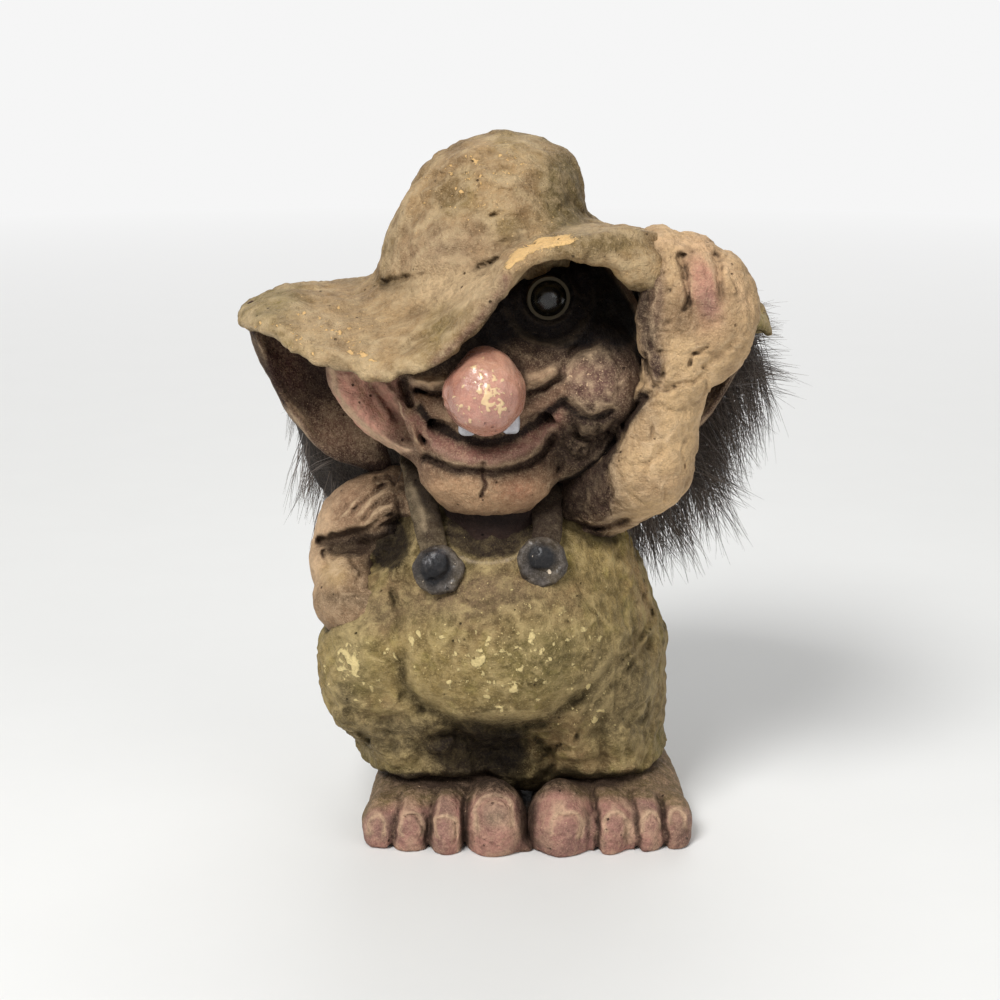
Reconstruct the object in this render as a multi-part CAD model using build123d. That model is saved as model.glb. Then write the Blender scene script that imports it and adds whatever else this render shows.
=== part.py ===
from build123d import *
from math import cos, radians, sin, sqrt
import os

# A folk troll figure: a moulded, hand-painted composition casting with a slouch hat pulled over one eye,
# a set-in glass eye, two milk teeth and a fur wig.
# Units are millimetres. +Z is up and the troll looks along -Y. The origin is under the middle of its box,
# on the surface it stands on. Left and right are the troll's own, so its right side is at -X.
# Every section of the casting is its own solid, cut to seat face to face on what carries it.

# Stance: two bare feet side by side, toes forward.
stance_x = 5.0
stance_gap = 0.8
foot_length = 62.0
foot_width = 36.2
foot_height = 17.0
toe_front_y = -38.0
toe_splay = 7.0
toe_length = 19.0
toe_height = 14.5

# Trunk: dungarees from crotch to bib, with the paunch and the pocket that holds a fist.
trunk_x = -2.0
trunk_y = -1.0
trunk_base_z = 19.0
trunk_width = 78.0
trunk_depth = 66.0
trunk_height = 63.0
paunch_width = 55.0
paunch_depth = 50.0
paunch_height = 42.0
pocket_width = 23.0
pocket_depth = 30.0
pocket_height = 38.0
pocket_lean = 10.0
wall = 5.0
crotch_width = 24.0
crotch_depth = 36.0
crotch_height = 26.0
fold_thickness = 3.4

# Trouser legs, short and baggy, with the cuffs resting on the insteps.
leg_width = 39.5
leg_pinch = 3.0
leg_depth = 50.0
leg_height = 27.0
cuff_z = 12.0
hip_spacing = 37.0

# Neck and head.
neck_width = 30.0
neck_depth = 34.0
neck_height = 34.0
chin_z = 76.5
head_width = 70.0
head_depth = 60.0
head_height = 62.0
head_shift_x = -1.5
cheek_width = 27.0
cheek_depth = 22.0
cheek_height = 23.0
flap_width = 20.5
flap_depth = 15.0
flap_height = 31.0
flap_rim = 1.5
flap_lean = 41.0
chin_width = 29.0
chin_depth = 18.0
chin_height = 16.5
lip_thickness = 6.4
upper_lip_thickness = 5.2
mouth_width = 35.0
mouth_drop = 7.0
mouth_opening = 3.2
mouth_z = 101.0

# Nose, teeth, and the one glass eye in its socket: the brim is pulled down over the other side.
nose_width = 17.8
nose_depth = 20.0
nose_height = 18.4
nose_z = 105.0
tooth_width = 3.6
tooth_depth = 3.0
tooth_height = 6.0
tooth_spacing = 9.2
eye_offset_x = 12.6
eye_z = 122.6
eye_turn = 10.0
eye_diameter = 9.2
eye_glass_rise = 2.3
eye_disc_thickness = 1.6
eye_ring_width = 0.7
eye_ring_rise = 0.35
socket_width = 27.0
socket_depth = 15.0
socket_height = 20.0

# Ears: large pointed cups that open forward.
ear_length = 44.0
ear_width = 18.0
ear_depth = 13.0
ear_rim = 2.2
ear_lean = 54.0
ear_spacing = 56.7
ear_shift_x = 2.6
ear_z = 83.0
ear_skew = 2.0
ear_skew_z = 1.0

# Slouch hat: a tilted crown on a wide wavy brim.
hat_x = -5.5
hat_z = 127.0
crown_width = 49.0
crown_depth = 51.0
crown_height = 27.5
crown_tilt = 16.0
brim_width = 119.0
brim_depth = 88.0
brim_wave = 20.0
felt_thickness = 4.0
roll_thickness = 9.2

# Arms: the right one hangs with its fist in the pocket, the left one is raised to lift the brim.
sleeve_thickness = 19.0
elbow_x = 31.0
elbow_y = -27.0
elbow_z = 86.0
forearm_thickness = 17.5
hand_x = 40.0
hand_y = -32.5
hand_z = 118.5
hand_width = 23.5
hand_depth = 14.0
hand_height = 27.0
hand_lean = 12.0
finger_thickness = 7.6
finger_length = 13.0
thumb_thickness = 7.6

# Braces and their buttons.
strap_width = 7.0
strap_thickness = 3.6
button_diameter = 10.4
button_thickness = 2.6
button_dome = 1.5
button_spacing = 22.3

# Fur wig: a pelt glued round the back of the head.
wig_width = 106.0
wig_depth = 58.0
wig_height = 66.0
tuft_width = 34.0
tuft_depth = 22.0
tuft_height = 26.0

# Places that several pieces share, worked out from the sizes above.
head_x = trunk_x + head_shift_x
trunk_top_z = trunk_base_z + trunk_height
paunch_y = trunk_y - 0.25 * trunk_depth
paunch_z = trunk_base_z + 0.44 * trunk_height
face_y = -head_depth / 2
nose_x = head_x - 0.01 * head_width
neck_y = face_y + 0.353 * head_depth
nose_y = face_y - 0.35 * nose_depth
hat_y = 0.045 * brim_depth
upward = (Align.CENTER, Align.CENTER, Align.MIN)


def ball(centre, width, depth, height, turn=(0, 0, 0)):
    """An ellipsoid with those three full sizes, turned about its own centre."""
    return Pos(*centre) * Rot(*turn) * scale(Sphere(1), by=(width / 2, depth / 2, height / 2))


def oval(centre, half_width, half_depth, facing, across):
    """An elliptical section at centre, square to facing, its half width along across."""
    return Plane(origin=centre, x_dir=across, z_dir=facing) * Ellipse(half_width, half_depth)


def stack(base, width, depth, height, shares, lean=0):
    """Ovals one above another, lofted. A row of shares is the rise, the shift sideways and backward,
    the half width, the half depth and the part of the lean."""
    sections = []
    for rise_share, aside_share, back_share, half_width_share, half_depth_share, lean_share in shares:
        turn = radians(lean * lean_share)
        centre = (base[0] + aside_share * width, base[1] + back_share * depth, base[2] + rise_share * height)
        across = (cos(turn), 0, sin(turn))
        facing = (-sin(turn), 0, cos(turn))
        sections.append(oval(centre, half_width_share * width, half_depth_share * depth, facing, across))
    return loft(sections)


def limb(points, thickness, shares, flatness=1.0, bend_axis=(0, -1, 0)):
    """Ovals square to a path of points, lofted. Each share of the thickness is one section's width in
    the plane of the bend, and flatness is what the other way measures beside it."""
    path = [Vector(*point) for point in points]
    sections = []
    for i, (point, share) in enumerate(zip(path, shares)):
        along = (path[min(i + 1, len(path) - 1)] - path[max(i - 1, 0)]).normalized()
        across = along.cross(Vector(*bend_axis)).normalized()
        half = share * thickness / 2
        sections.append(oval(point, half, half * flatness, along, across))
    return loft(sections)


def lump(shape):
    """The largest solid of a shape, without the crumbs that a cut can leave."""
    return max(shape.solids(), key=lambda solid: solid.volume)


def seated(piece, *carriers):
    """A piece cut away where its carriers are, so that it seats on them face to face."""
    for carrier in carriers:
        piece = lump(piece - carrier)
    return piece


def foot(side):
    """A bare foot with four blunt toes, the big toe on the inside, flat underneath."""
    inner_x = stance_x + side * stance_gap / 2
    middle_x = inner_x + side * foot_width / 2
    section_shares = [(0.0, 0.22, 0.40), (0.10, 0.36, 0.72), (0.36, 0.43, 1.0),
                      (0.62, 0.48, 0.86), (0.82, 0.46, 0.60), (0.90, 0.40, 0.42)]
    sections = []
    for along_share, half_width_share, height_share in section_shares:
        height = height_share * foot_height
        centre = (middle_x, toe_front_y + foot_length * (1 - along_share), 0.36 * height)
        sections.append(oval(centre, half_width_share * foot_width, 0.64 * height, (0, -1, 0), (1, 0, 0)))
    shape = loft(sections)
    toe_shares = [(0.19, 0.40, 1.0), (0.49, 0.25, 0.84), (0.71, 0.235, 0.76), (0.90, 0.20, 0.68)]
    for place_share, width_share, size_share in toe_shares:
        y = toe_front_y + size_share * toe_length / 2 + toe_splay * place_share ** 2
        height = size_share * toe_height
        centre = (inner_x + side * place_share * foot_width, y, 0.3 * height)
        shape += ball(centre, width_share * foot_width, size_share * toe_length, 1.4 * height)
    above = Pos(middle_x, 0, foot_height) * Box(2 * foot_width, 3 * foot_length, 2 * foot_height)
    return lump(shape & above)


def trunk():
    """The dungarees: a pear of a body, its paunch hanging forward, and the bulge of the fist."""
    body_shares = [(0.0, 0.01, 0.0, 0.20, 0.22, 0), (0.07, 0.01, 0.0, 0.37, 0.38, 0),
                   (0.18, 0.0, -0.015, 0.475, 0.485, 0), (0.36, -0.006, -0.03, 0.494, 0.53, 0),
                   (0.55, 0.0, -0.03, 0.449, 0.48, 0), (0.74, 0.0, -0.045, 0.385, 0.41, 0),
                   (0.90, -0.01, 0.015, 0.31, 0.29, 0), (1.0, -0.01, 0.03, 0.20, 0.20, 0)]
    shape = stack((trunk_x, trunk_y, trunk_base_z), trunk_width, trunk_depth, trunk_height, body_shares)
    shape += ball((trunk_x + 0.045 * trunk_width, paunch_y + 0.03 * paunch_depth, paunch_z),
                  paunch_width, paunch_depth, paunch_height)
    pocket = (trunk_x - 0.36 * trunk_width, trunk_y - 0.22 * trunk_depth, trunk_base_z + 0.34 * trunk_height)
    shape += ball(pocket, pocket_width, pocket_depth, pocket_height, (0, pocket_lean, 0))
    crotch = (stance_x, trunk_y - 0.11 * crotch_depth, trunk_base_z - 0.12 * crotch_height)
    shape += ball(crotch, crotch_width, crotch_depth, crotch_height)
    fold_shares = [(-0.245, -0.43, 0.50), (-0.257, -0.455, 0.366),
                   (-0.195, -0.492, 0.256), (-0.094, -0.523, 0.205), (0.012, -0.53, 0.193),
                   (0.145, -0.53, 0.215), (0.263, -0.5, 0.288), (0.353, -0.455, 0.388),
                   (0.404, -0.409, 0.496)]
    fold = [on_trunk(*shares) for shares in fold_shares]
    shape -= limb(fold, fold_thickness, [1.0] * len(fold), 2.0)
    return lump(shape)


def core():
    """The foam that fills the trunk, one wall in from its skin."""
    core_shares = [(0.06, 0.01, 0.0, 0.30, 0.32, 0), (0.18, 0.0, -0.015, 0.46, 0.47, 0),
                   (0.40, -0.006, -0.03, 0.494, 0.53, 0), (0.60, 0.0, -0.03, 0.449, 0.48, 0),
                   (0.82, 0.0, -0.02, 0.36, 0.36, 0), (1.0, -0.01, 0.015, 0.16, 0.16, 0)]
    base = (trunk_x, trunk_y, trunk_base_z + wall)
    return stack(base, trunk_width - 2 * wall, trunk_depth - 2 * wall, 0.8 * trunk_height - wall, core_shares)


def trouser_leg(side):
    """One trouser leg, from inside the trunk out and down to the cuff over the instep. The left one is
    narrower by the pinch."""
    pinch = leg_pinch * (1 + side) / 2
    hip_x = trunk_x + side * hip_spacing / 2
    cuff_x = stance_x + side * (stance_gap + foot_width) / 2 - pinch
    leg_shares = [(1.0, 0.0, 0.50, 0.50), (0.68, 0.2, 0.52, 0.53), (0.34, 0.55, 0.505, 0.51),
                  (0.14, 0.75, 0.485, 0.475), (0.0, 0.85, 0.45, 0.44)]
    sections = []
    for rise_share, step_share, half_width_share, half_depth_share in leg_shares:
        centre = (hip_x + step_share * (cuff_x - hip_x), trunk_y, cuff_z + rise_share * leg_height)
        sections.append(oval(centre, half_width_share * (leg_width - pinch), half_depth_share * leg_depth,
                             (0, 0, 1), (1, 0, 0)))
    return loft(sections)


def neck_form():
    """The short thick neck, from inside the bib up into the head."""
    neck_shares = [(0.0, 0.0, -0.02, 0.50, 0.47, 0), (0.35, 0.01, -0.03, 0.48, 0.46, 0),
                   (0.62, 0.0, -0.03, 0.45, 0.44, 0), (1.0, -0.03, 0.10, 0.46, 0.44, 0)]
    base = (trunk_x, neck_y, trunk_top_z - 0.72 * neck_height)
    return stack(base, neck_width, neck_depth, neck_height, neck_shares)


def hat_form(skin):
    """The crown's outline, drawn in by skin: the felt's outside, or the head that fills it."""
    crown_shares = [(-0.56, 0.02, -0.03, 0.58, 0.53, 0.6), (-0.22, 0.01, -0.01, 0.535, 0.52, 0.85),
                    (0.0, 0.0, 0.0, 0.51, 0.50, 1.0), (0.33, 0.015, 0.01, 0.47, 0.46, 1.0),
                    (0.58, 0.04, 0.03, 0.41, 0.40, 0.9), (0.80, 0.06, 0.05, 0.31, 0.31, 0.5),
                    (0.94, 0.08, 0.06, 0.18, 0.18, 0.2), (1.0, 0.09, 0.06, 0.04, 0.04, 0.0)]
    width = crown_width - 2 * skin
    depth = crown_depth - 2 * skin
    return stack((hat_x, hat_y, hat_z), width, depth, crown_height - skin, crown_shares, crown_tilt)


def smile(y_shift, z_shift, width, drop):
    """Points of the smile, from the right corner down and round to the left one."""
    smile_shares = [(-0.5, 0.0, 0.0), (-0.30, 0.62, 0.72), (0.0, 1.0, 1.0), (0.28, 0.66, 0.74),
                    (0.5, -0.06, 0.0)]
    points = []
    for across_share, drop_share, forward_share in smile_shares:
        y = face_y + y_shift + 0.22 * head_depth * (1 - forward_share)
        points.append((head_x + across_share * width, y, mouth_z + z_shift - drop_share * drop))
    return points


def eye_plane(depth=0.0):
    """The plane of the glass eye, facing a little outward, so far behind the floor of its socket."""
    turn = radians(eye_turn)
    centre = (head_x + eye_offset_x, face_y + 0.085 * head_depth + depth, eye_z)
    return Plane(origin=centre, x_dir=(cos(turn), sin(turn), 0), z_dir=(sin(turn), -cos(turn), 0))


def cap(radius, rise):
    """A shallow spherical dome on a flat base."""
    curve = (radius ** 2 + rise ** 2) / (2 * rise)
    return Cylinder(radius, rise, align=upward) & Pos(0, 0, rise - curve) * Sphere(curve)


def on_head(across_share, back_share, rise_share):
    """A place given in shares of the head's sizes."""
    return (head_x + across_share * head_width, back_share * head_depth, chin_z + rise_share * head_height)


def head_form():
    """The head: skull, chin, cheeks, the flap before the right ear and the lips, with the mouth and the
    eye's socket let in."""
    skull_shares = [(0.0, 0.0, -0.33, 0.13, 0.10, 0), (0.09, 0.0, -0.267, 0.20, 0.215, 0),
                    (0.22, 0.0, -0.13, 0.345, 0.385, 0), (0.35, 0.0, -0.067, 0.455, 0.465, 0),
                    (0.48, 0.0, -0.033, 0.50, 0.50, 0.2), (0.60, 0.0, -0.017, 0.48, 0.50, 0.6),
                    (0.71, -0.01, 0.0, 0.41, 0.44, 1.0), (0.80, -0.02, 0.03, 0.29, 0.32, 1.0)]
    shape = stack((head_x, 0, chin_z), head_width, head_depth, head_height, skull_shares, crown_tilt)
    shape += hat_form(felt_thickness)
    shape += ball(on_head(-0.004, -0.40, 0.115), chin_width, chin_depth, chin_height)
    shape += ball(on_head(0.315, -0.39, 0.45), cheek_width, cheek_depth, cheek_height, (0, 0, -crown_tilt))
    shape += ball(on_head(0.30, -0.283, 0.226), cheek_width, 0.86 * cheek_depth, 0.96 * cheek_height,
                  (0, 0, -crown_tilt))
    shape += ball(on_head(-0.207, -0.30, 0.371), 0.82 * cheek_width, cheek_depth, 0.96 * cheek_height)
    shape += ball(on_head(-0.324, -0.25, 0.395), flap_width, flap_depth, flap_height, (0, -flap_lean, 0))
    shape -= ball(on_head(-0.31, -0.403, 0.408), flap_width - 2 * flap_rim, 0.63 * flap_depth,
                  flap_height - 2.6 * flap_rim, (0, -flap_lean, 0))
    upper_lip = smile(-0.025 * head_depth, 0.3 * upper_lip_thickness, 0.94 * mouth_width, 0.5 * mouth_drop)
    shape += limb(upper_lip, upper_lip_thickness, (0.7, 0.9, 1.1, 0.9, 0.7))
    lower_lip = smile(-0.02 * head_depth, -0.58 * lip_thickness, 0.95 * mouth_width, 1.2 * mouth_drop)
    shape += limb(lower_lip, lip_thickness, (0.5, 0.85, 1.0, 0.85, 0.5))
    mouth = smile(-0.06 * head_depth, 0, mouth_width, mouth_drop)
    shape -= limb(mouth, mouth_opening, (0.5, 0.9, 1.0, 0.9, 0.5), 2.0)
    middle = eye_plane(-0.44 * socket_depth).origin
    shape -= ball((middle.X, middle.Y, middle.Z), socket_width, socket_depth, socket_height)
    return lump(shape)


def eye_disc():
    """The painted disc behind the glass, with its thin raised ring."""
    height = eye_disc_thickness + eye_ring_rise
    disc = Pos(0, 0, -eye_disc_thickness) * Cylinder(eye_diameter / 2, height, align=upward)
    well = Cylinder(eye_diameter / 2 - eye_ring_width, height, align=upward)
    return eye_plane() * (disc - well)


def eye_glass():
    """The domed glass, seated inside the ring on the disc."""
    return eye_plane() * cap(eye_diameter / 2 - eye_ring_width, eye_glass_rise)


def tooth(side):
    """A blunt milk tooth that shows below the nose."""
    tooth_shares = [(0.0, 0.0, 0.0, 0.42, 0.40, 0), (0.25, 0.0, 0.0, 0.50, 0.50, 0),
                    (1.0, 0.0, 0.0, 0.42, 0.42, 0)]
    tip_z = nose_z - nose_height / 2 - 0.1 * tooth_height
    base = (nose_x + side * tooth_spacing / 2, face_y - tooth_depth, tip_z)
    return stack(base, tooth_width, tooth_depth, tooth_height, tooth_shares)


def ear(side):
    """A pointed ear: a leaf-shaped cup, open forward, that runs up and out under the brim."""
    lean = radians(ear_lean + side * ear_skew)
    root_x = head_x + ear_shift_x + side * ear_spacing / 2
    root_z = ear_z + side * ear_skew_z
    leaf_shares = [(0.0, 0.40, 0.0), (0.22, 0.84, 0.02), (0.48, 1.0, 0.0), (0.75, 0.80, -0.02),
                   (1.0, 0.16, 0.0)]

    def leaf(width, forward):
        points = []
        for along_share, width_share, bow_share in leaf_shares:
            reach = along_share * ear_length
            bow = bow_share * ear_length
            x = root_x + side * (cos(lean) * reach + sin(lean) * bow)
            points.append((x, -forward, root_z + sin(lean) * reach - cos(lean) * bow))
        widths = [width_share for along_share, width_share, bow_share in leaf_shares]
        return limb(points, width, widths, ear_depth / ear_width)

    return lump(leaf(ear_width, 0) - leaf(ear_width - 2 * ear_rim, 0.42 * ear_depth))


def brim_plate():
    """The wide wavy brim, lofted from the right tip to the left one, with its edge rolled down towards
    the hand and a blunt left tip."""
    wave_shares = [(-0.498, 1.0, -0.62, -0.62, -0.62), (-0.42, 1.0, -0.57, -0.40, -0.64),
                   (-0.335, 1.0, -0.80, -0.40, -0.64), (-0.24, 1.0, -0.90, -0.40, -0.60),
                   (-0.15, 1.0, -0.80, -0.30, -0.50), (-0.067, 1.0, -0.42, -0.10, -0.40),
                   (0.025, 1.0, 0.26, 0.12, -0.30), (0.11, 1.0, 0.46, 0.26, -0.20),
                   (0.20, 0.97, 0.50, 0.30, -0.15), (0.29, 0.88, 0.36, 0.16, -0.22),
                   (0.38, 0.84, -0.05, -0.20, -0.42), (0.45, 0.90, -0.50, -0.52, -0.60),
                   (0.498, 1.0, -0.78, -0.78, -0.78)]
    slices = []
    for x_share, reach_share, front_share, middle_share, back_share in wave_shares:
        half_chord = brim_depth / 2 * sqrt(1 - (2 * x_share) ** 2)
        thickness = felt_thickness * (1 - abs(x_share))
        places = [(-half_chord * reach_share, front_share), (0.0, middle_share), (half_chord, back_share)]
        under = [(y, hat_z + share * brim_wave - thickness / 2) for y, share in places]
        over = [(y, z + thickness) for y, z in under]
        edge = Spline(*under) + Line(under[-1], over[-1]) + Spline(*over[::-1]) + Line(over[0], under[0])
        across = Plane(origin=(x_share * brim_width, 0, 0), x_dir=(0, 1, 0), z_dir=(1, 0, 0))
        slices.append(across * make_face(edge))
    shape = loft(slices)
    roll_shares = [(0.092, -0.466, 0.38, 0.43), (0.143, -0.45, 0.38, 0.57), (0.189, -0.432, 0.32, 0.70),
                   (0.227, -0.414, 0.21, 0.91), (0.265, -0.381, 0.10, 1.0)]
    roll = []
    for across_share, back_share, rise_share, width_share in roll_shares:
        roll.append((across_share * brim_width, back_share * brim_depth, hat_z + rise_share * brim_wave))
    widths = [width_share for across_share, back_share, rise_share, width_share in roll_shares]
    shape += limb(roll, roll_thickness, widths, bend_axis=(0, 0, 1))
    tip = (0.462 * brim_width, 0.05 * brim_depth, hat_z - 0.64 * brim_wave)
    return lump(shape + ball(tip, 0.87 * roll_thickness, 1.2 * roll_thickness, 0.8 * roll_thickness))


def on_trunk(across_share, back_share, rise_share):
    """A place given in shares of the trunk's sizes."""
    return (trunk_x + across_share * trunk_width, trunk_y + back_share * trunk_depth,
            trunk_base_z + rise_share * trunk_height)


def right_arm_form():
    """The hanging arm, bent forward into the pocket."""
    path_shares = [(-0.28, 0.0, 0.86), (-0.38, -0.03, 0.78), (-0.42, -0.08, 0.66),
                   (-0.39, -0.19, 0.54), (-0.33, -0.30, 0.42)]
    points = [on_trunk(*shares) for shares in path_shares]
    return limb(points, sleeve_thickness, (0.80, 1.0, 0.97, 0.92, 0.80))


def left_upper_arm_form():
    """The raised arm from the shoulder to its rounded elbow."""
    elbow = Vector(elbow_x, elbow_y, elbow_z)
    root = Vector(*on_trunk(0.22, 0.0, 0.72))
    shoulder = Vector(*on_trunk(0.25, -0.12, 0.86))
    points = [root, shoulder, shoulder + (elbow - shoulder) * 0.55, elbow]
    shape = limb(points, sleeve_thickness, (0.90, 1.0, 1.0, 0.90))
    joint = ball((elbow_x, elbow_y, elbow_z), sleeve_thickness, sleeve_thickness, sleeve_thickness)
    return lump(shape + joint)


def left_forearm_form():
    """The forearm, thick below and narrow at the wrist, which ends inside the palm."""
    rise_shares = [(0.0, 0.0, 0.80), (0.25, 0.16, 0.96), (0.50, 0.38, 0.88), (0.72, 0.66, 0.66),
                   (0.95, 0.94, 0.58)]
    points = []
    for rise_share, across_share, width_share in rise_shares:
        x = elbow_x + across_share * (hand_x - elbow_x)
        y = elbow_y + rise_share * (hand_y - elbow_y)
        points.append((x, y, elbow_z + rise_share * (hand_z - elbow_z)))
    widths = [width_share for rise_share, across_share, width_share in rise_shares]
    return limb(points, forearm_thickness, widths)


def left_hand_form():
    """The hand: a palm, four plump fingers that curl over the brim's edge, and a thumb under it."""
    centre = Vector(hand_x, hand_y, hand_z)
    shape = ball((hand_x, hand_y, hand_z), hand_width, hand_depth, hand_height, (0, hand_lean, 0))
    shape += ball((hand_x + 0.04 * hand_width, hand_y, hand_z + 0.27 * hand_height),
                  hand_width, hand_depth, 0.7 * hand_height, (0, 2 * hand_lean, 0))
    finger_shares = [(-0.24, 0.10, -0.34, 0.56), (-0.03, 0.14, -0.01, 0.50),
                     (0.17, 0.05, 0.26, 0.36), (0.22, -0.24, 0.37, 0.14)]
    for root_share, root_rise_share, tip_share, tip_rise_share in finger_shares:
        root = centre + Vector(root_share * hand_width, 0, root_rise_share * hand_height)
        tip = centre + Vector(tip_share * hand_width, 0.1 * hand_depth, tip_rise_share * hand_height)
        knuckle = root + (tip - root) * 0.55 - Vector(0, 0.30 * hand_depth, 0)
        over = tip + Vector(0, 0.5 * finger_length, 0)
        end = tip + Vector(0, finger_length, -0.3 * finger_length)
        finger = [root, knuckle, tip, over, end]
        shape += limb(finger, finger_thickness, (0.8, 1.0, 1.0, 0.9, 0.5), bend_axis=(1, 0, 0))
    thumb_shares = [(-0.15, -0.42), (-0.34, -0.20), (-0.39, 0.08), (-0.36, 0.30)]
    thumb = []
    for across_share, rise_share in thumb_shares:
        thumb.append(centre + Vector(across_share * hand_width, -0.24 * hand_depth, rise_share * hand_height))
    shape += limb(thumb, thumb_thickness, (0.75, 1.0, 1.0, 0.65))
    return lump(shape)


def button_plane(side):
    """The plane of one brace button, standing off the bib and facing forward and a little up."""
    centre = on_trunk(-0.016 + side * button_spacing / trunk_width / 2, -0.455, 0.735 + side * 0.012)
    turn = radians(crown_tilt)
    return Plane(origin=centre, x_dir=(1, 0, 0), z_dir=(0, -cos(turn), sin(turn)))


def button(side):
    """A domed brace button with a rolled rim, its shank sunk into the bib."""
    radius = button_diameter / 2
    rim = 0.14 * button_diameter
    disc = Pos(0, 0, -2 * button_thickness) * Cylinder(radius, 2 * button_thickness, align=upward)
    disc += Torus(radius - rim / 2, rim / 2)
    disc += cap(radius - rim, button_dome)
    return button_plane(side) * disc


def strap(side):
    """A brace from behind the shoulder, over it, and down to its button."""
    end = button_plane(side).origin
    top_shares = [(-0.20, 0.16, 0.97), (-0.235, -0.04, 1.01), (-0.22, -0.22, 0.955)]
    if side > 0:
        top_shares = [(0.10, 0.10, 1.0), (0.13, -0.08, 0.99), (0.13, -0.25, 0.93)]
    points = [Vector(*on_trunk(*shares)) for shares in top_shares]
    points.append(points[-1] + (end - points[-1]) * 0.55 + Vector(0, -0.10 * strap_thickness, 0))
    points.append(end + Vector(0, 0.4 * strap_thickness, 0))
    return limb(points, strap_thickness, (0.9, 1.0, 1.0, 1.0, 0.9), strap_width / strap_thickness, (1, 0, 0))


def wig_form():
    """The fur as a plain full body, from under the brim down over the shoulders, with its side tufts."""
    wig_shares = [(0.0, 0.0, 0.20, 0.20, 0.16, 0), (0.16, 0.0, 0.14, 0.36, 0.34, 0),
                  (0.40, 0.02, 0.06, 0.45, 0.46, 0), (0.64, 0.03, 0.04, 0.49, 0.50, 0),
                  (0.84, 0.04, 0.02, 0.46, 0.46, 0), (1.0, 0.05, 0.0, 0.36, 0.36, 0)]
    base = (head_x, 0.29 * wig_depth, chin_z - 0.35 * wig_height)
    shape = stack(base, wig_width, wig_depth, wig_height, wig_shares)
    tuft_shares = [(0.43, 0.0, 0.75, 1.0, -10), (0.40, -0.10, 0.36, 0.8, 22), (-0.36, -0.02, 0.62, 0.9, 10)]
    for across_share, back_share, rise_share, height_share, lean in tuft_shares:
        centre = (base[0] + across_share * wig_width, base[1] + back_share * wig_depth,
                  base[2] + rise_share * wig_height)
        shape += ball(centre, tuft_width, tuft_depth, height_share * tuft_height, (0, lean, 0))
    return lump(shape)


pieces = {}
pieces["right_foot"] = foot(-1)
pieces["left_foot"] = seated(foot(1), pieces["right_foot"])
feet = (pieces["right_foot"], pieces["left_foot"])
body = seated(trunk(), *feet)
pieces["foam_core"] = core()
pieces["dungarees"] = lump(body - pieces["foam_core"])
pieces["right_trouser_leg"] = seated(trouser_leg(-1), body, *feet)
pieces["left_trouser_leg"] = seated(trouser_leg(1), body, *feet, pieces["right_trouser_leg"])
pieces["neck"] = seated(neck_form(), body)
head = seated(head_form(), pieces["neck"], body)
brim = seated(brim_plate(), head)
pieces["hat_crown"] = seated(hat_form(0), head, brim)
pieces["nose"] = seated(ball((nose_x, nose_y, nose_z), nose_width, nose_depth, nose_height), head)
pieces["right_arm"] = seated(right_arm_form(), body, pieces["neck"], head)
pieces["left_upper_arm"] = seated(left_upper_arm_form(), body, pieces["neck"], head)
pieces["left_forearm"] = seated(left_forearm_form(), pieces["left_upper_arm"], head)
pieces["left_hand"] = seated(left_hand_form(), head, brim, pieces["left_forearm"])
arms = (pieces["right_arm"], pieces["left_upper_arm"], pieces["left_forearm"], pieces["left_hand"])
pieces["eye_disc"] = eye_disc()
pieces["eye_glass"] = eye_glass()
head = seated(head, pieces["eye_disc"], pieces["eye_glass"])
for side, name in ((-1, "right"), (1, "left")):
    pieces[name + "_tooth"] = seated(tooth(side), pieces["nose"])
    head = seated(head, pieces[name + "_tooth"])
    pieces[name + "_ear"] = seated(ear(side), head, brim, *arms)
    pieces[name + "_button"] = seated(button(side), body, pieces["neck"])
    pieces[name + "_strap"] = seated(strap(side), body, pieces["neck"], head, *arms, pieces[name + "_button"])
pieces["head"] = head
pieces["hat_brim"] = brim
pieces["wig"] = seated(wig_form(), body, *pieces.values())

os.makedirs("parts", exist_ok=True)
for name, piece in pieces.items():
    export_step(piece, "parts/" + name + ".step")
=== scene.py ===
import math
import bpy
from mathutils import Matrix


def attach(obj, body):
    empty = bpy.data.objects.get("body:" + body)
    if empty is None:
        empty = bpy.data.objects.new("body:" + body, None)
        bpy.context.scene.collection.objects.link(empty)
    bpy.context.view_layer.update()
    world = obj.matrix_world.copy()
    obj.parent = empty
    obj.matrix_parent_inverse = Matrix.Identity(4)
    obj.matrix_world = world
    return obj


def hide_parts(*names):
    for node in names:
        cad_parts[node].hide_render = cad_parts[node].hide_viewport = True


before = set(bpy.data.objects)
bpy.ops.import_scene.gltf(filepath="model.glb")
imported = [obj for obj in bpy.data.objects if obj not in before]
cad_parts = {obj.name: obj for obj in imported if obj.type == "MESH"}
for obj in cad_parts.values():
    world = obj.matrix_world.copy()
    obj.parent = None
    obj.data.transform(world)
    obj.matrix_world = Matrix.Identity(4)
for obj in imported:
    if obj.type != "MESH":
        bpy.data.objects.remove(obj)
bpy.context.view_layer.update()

from concurrent.futures import ThreadPoolExecutor
from functools import partial
import bpy
import numpy as np

# A moulded and hand-painted troll with a fur wig. The casting is sculpted in millimetres in the frame's own
# axes and turned into metres when a mesh is made. Every form is a distance field, below zero inside.
sculpt = {
    "step": 0.5,    # mm between the points of the sculpting grid
    "relief": 1.6,                         # mm that folds and lumps may add to a plain form
    "care": 9.0,                           # mm from a limb beyond which its exact distance doesn't matter
    "feelers": (0.9, 2.5, 7.0),            # mm ahead of the skin: relief, gaps and shelter are felt there
    "metre": 0.001,
}

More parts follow.
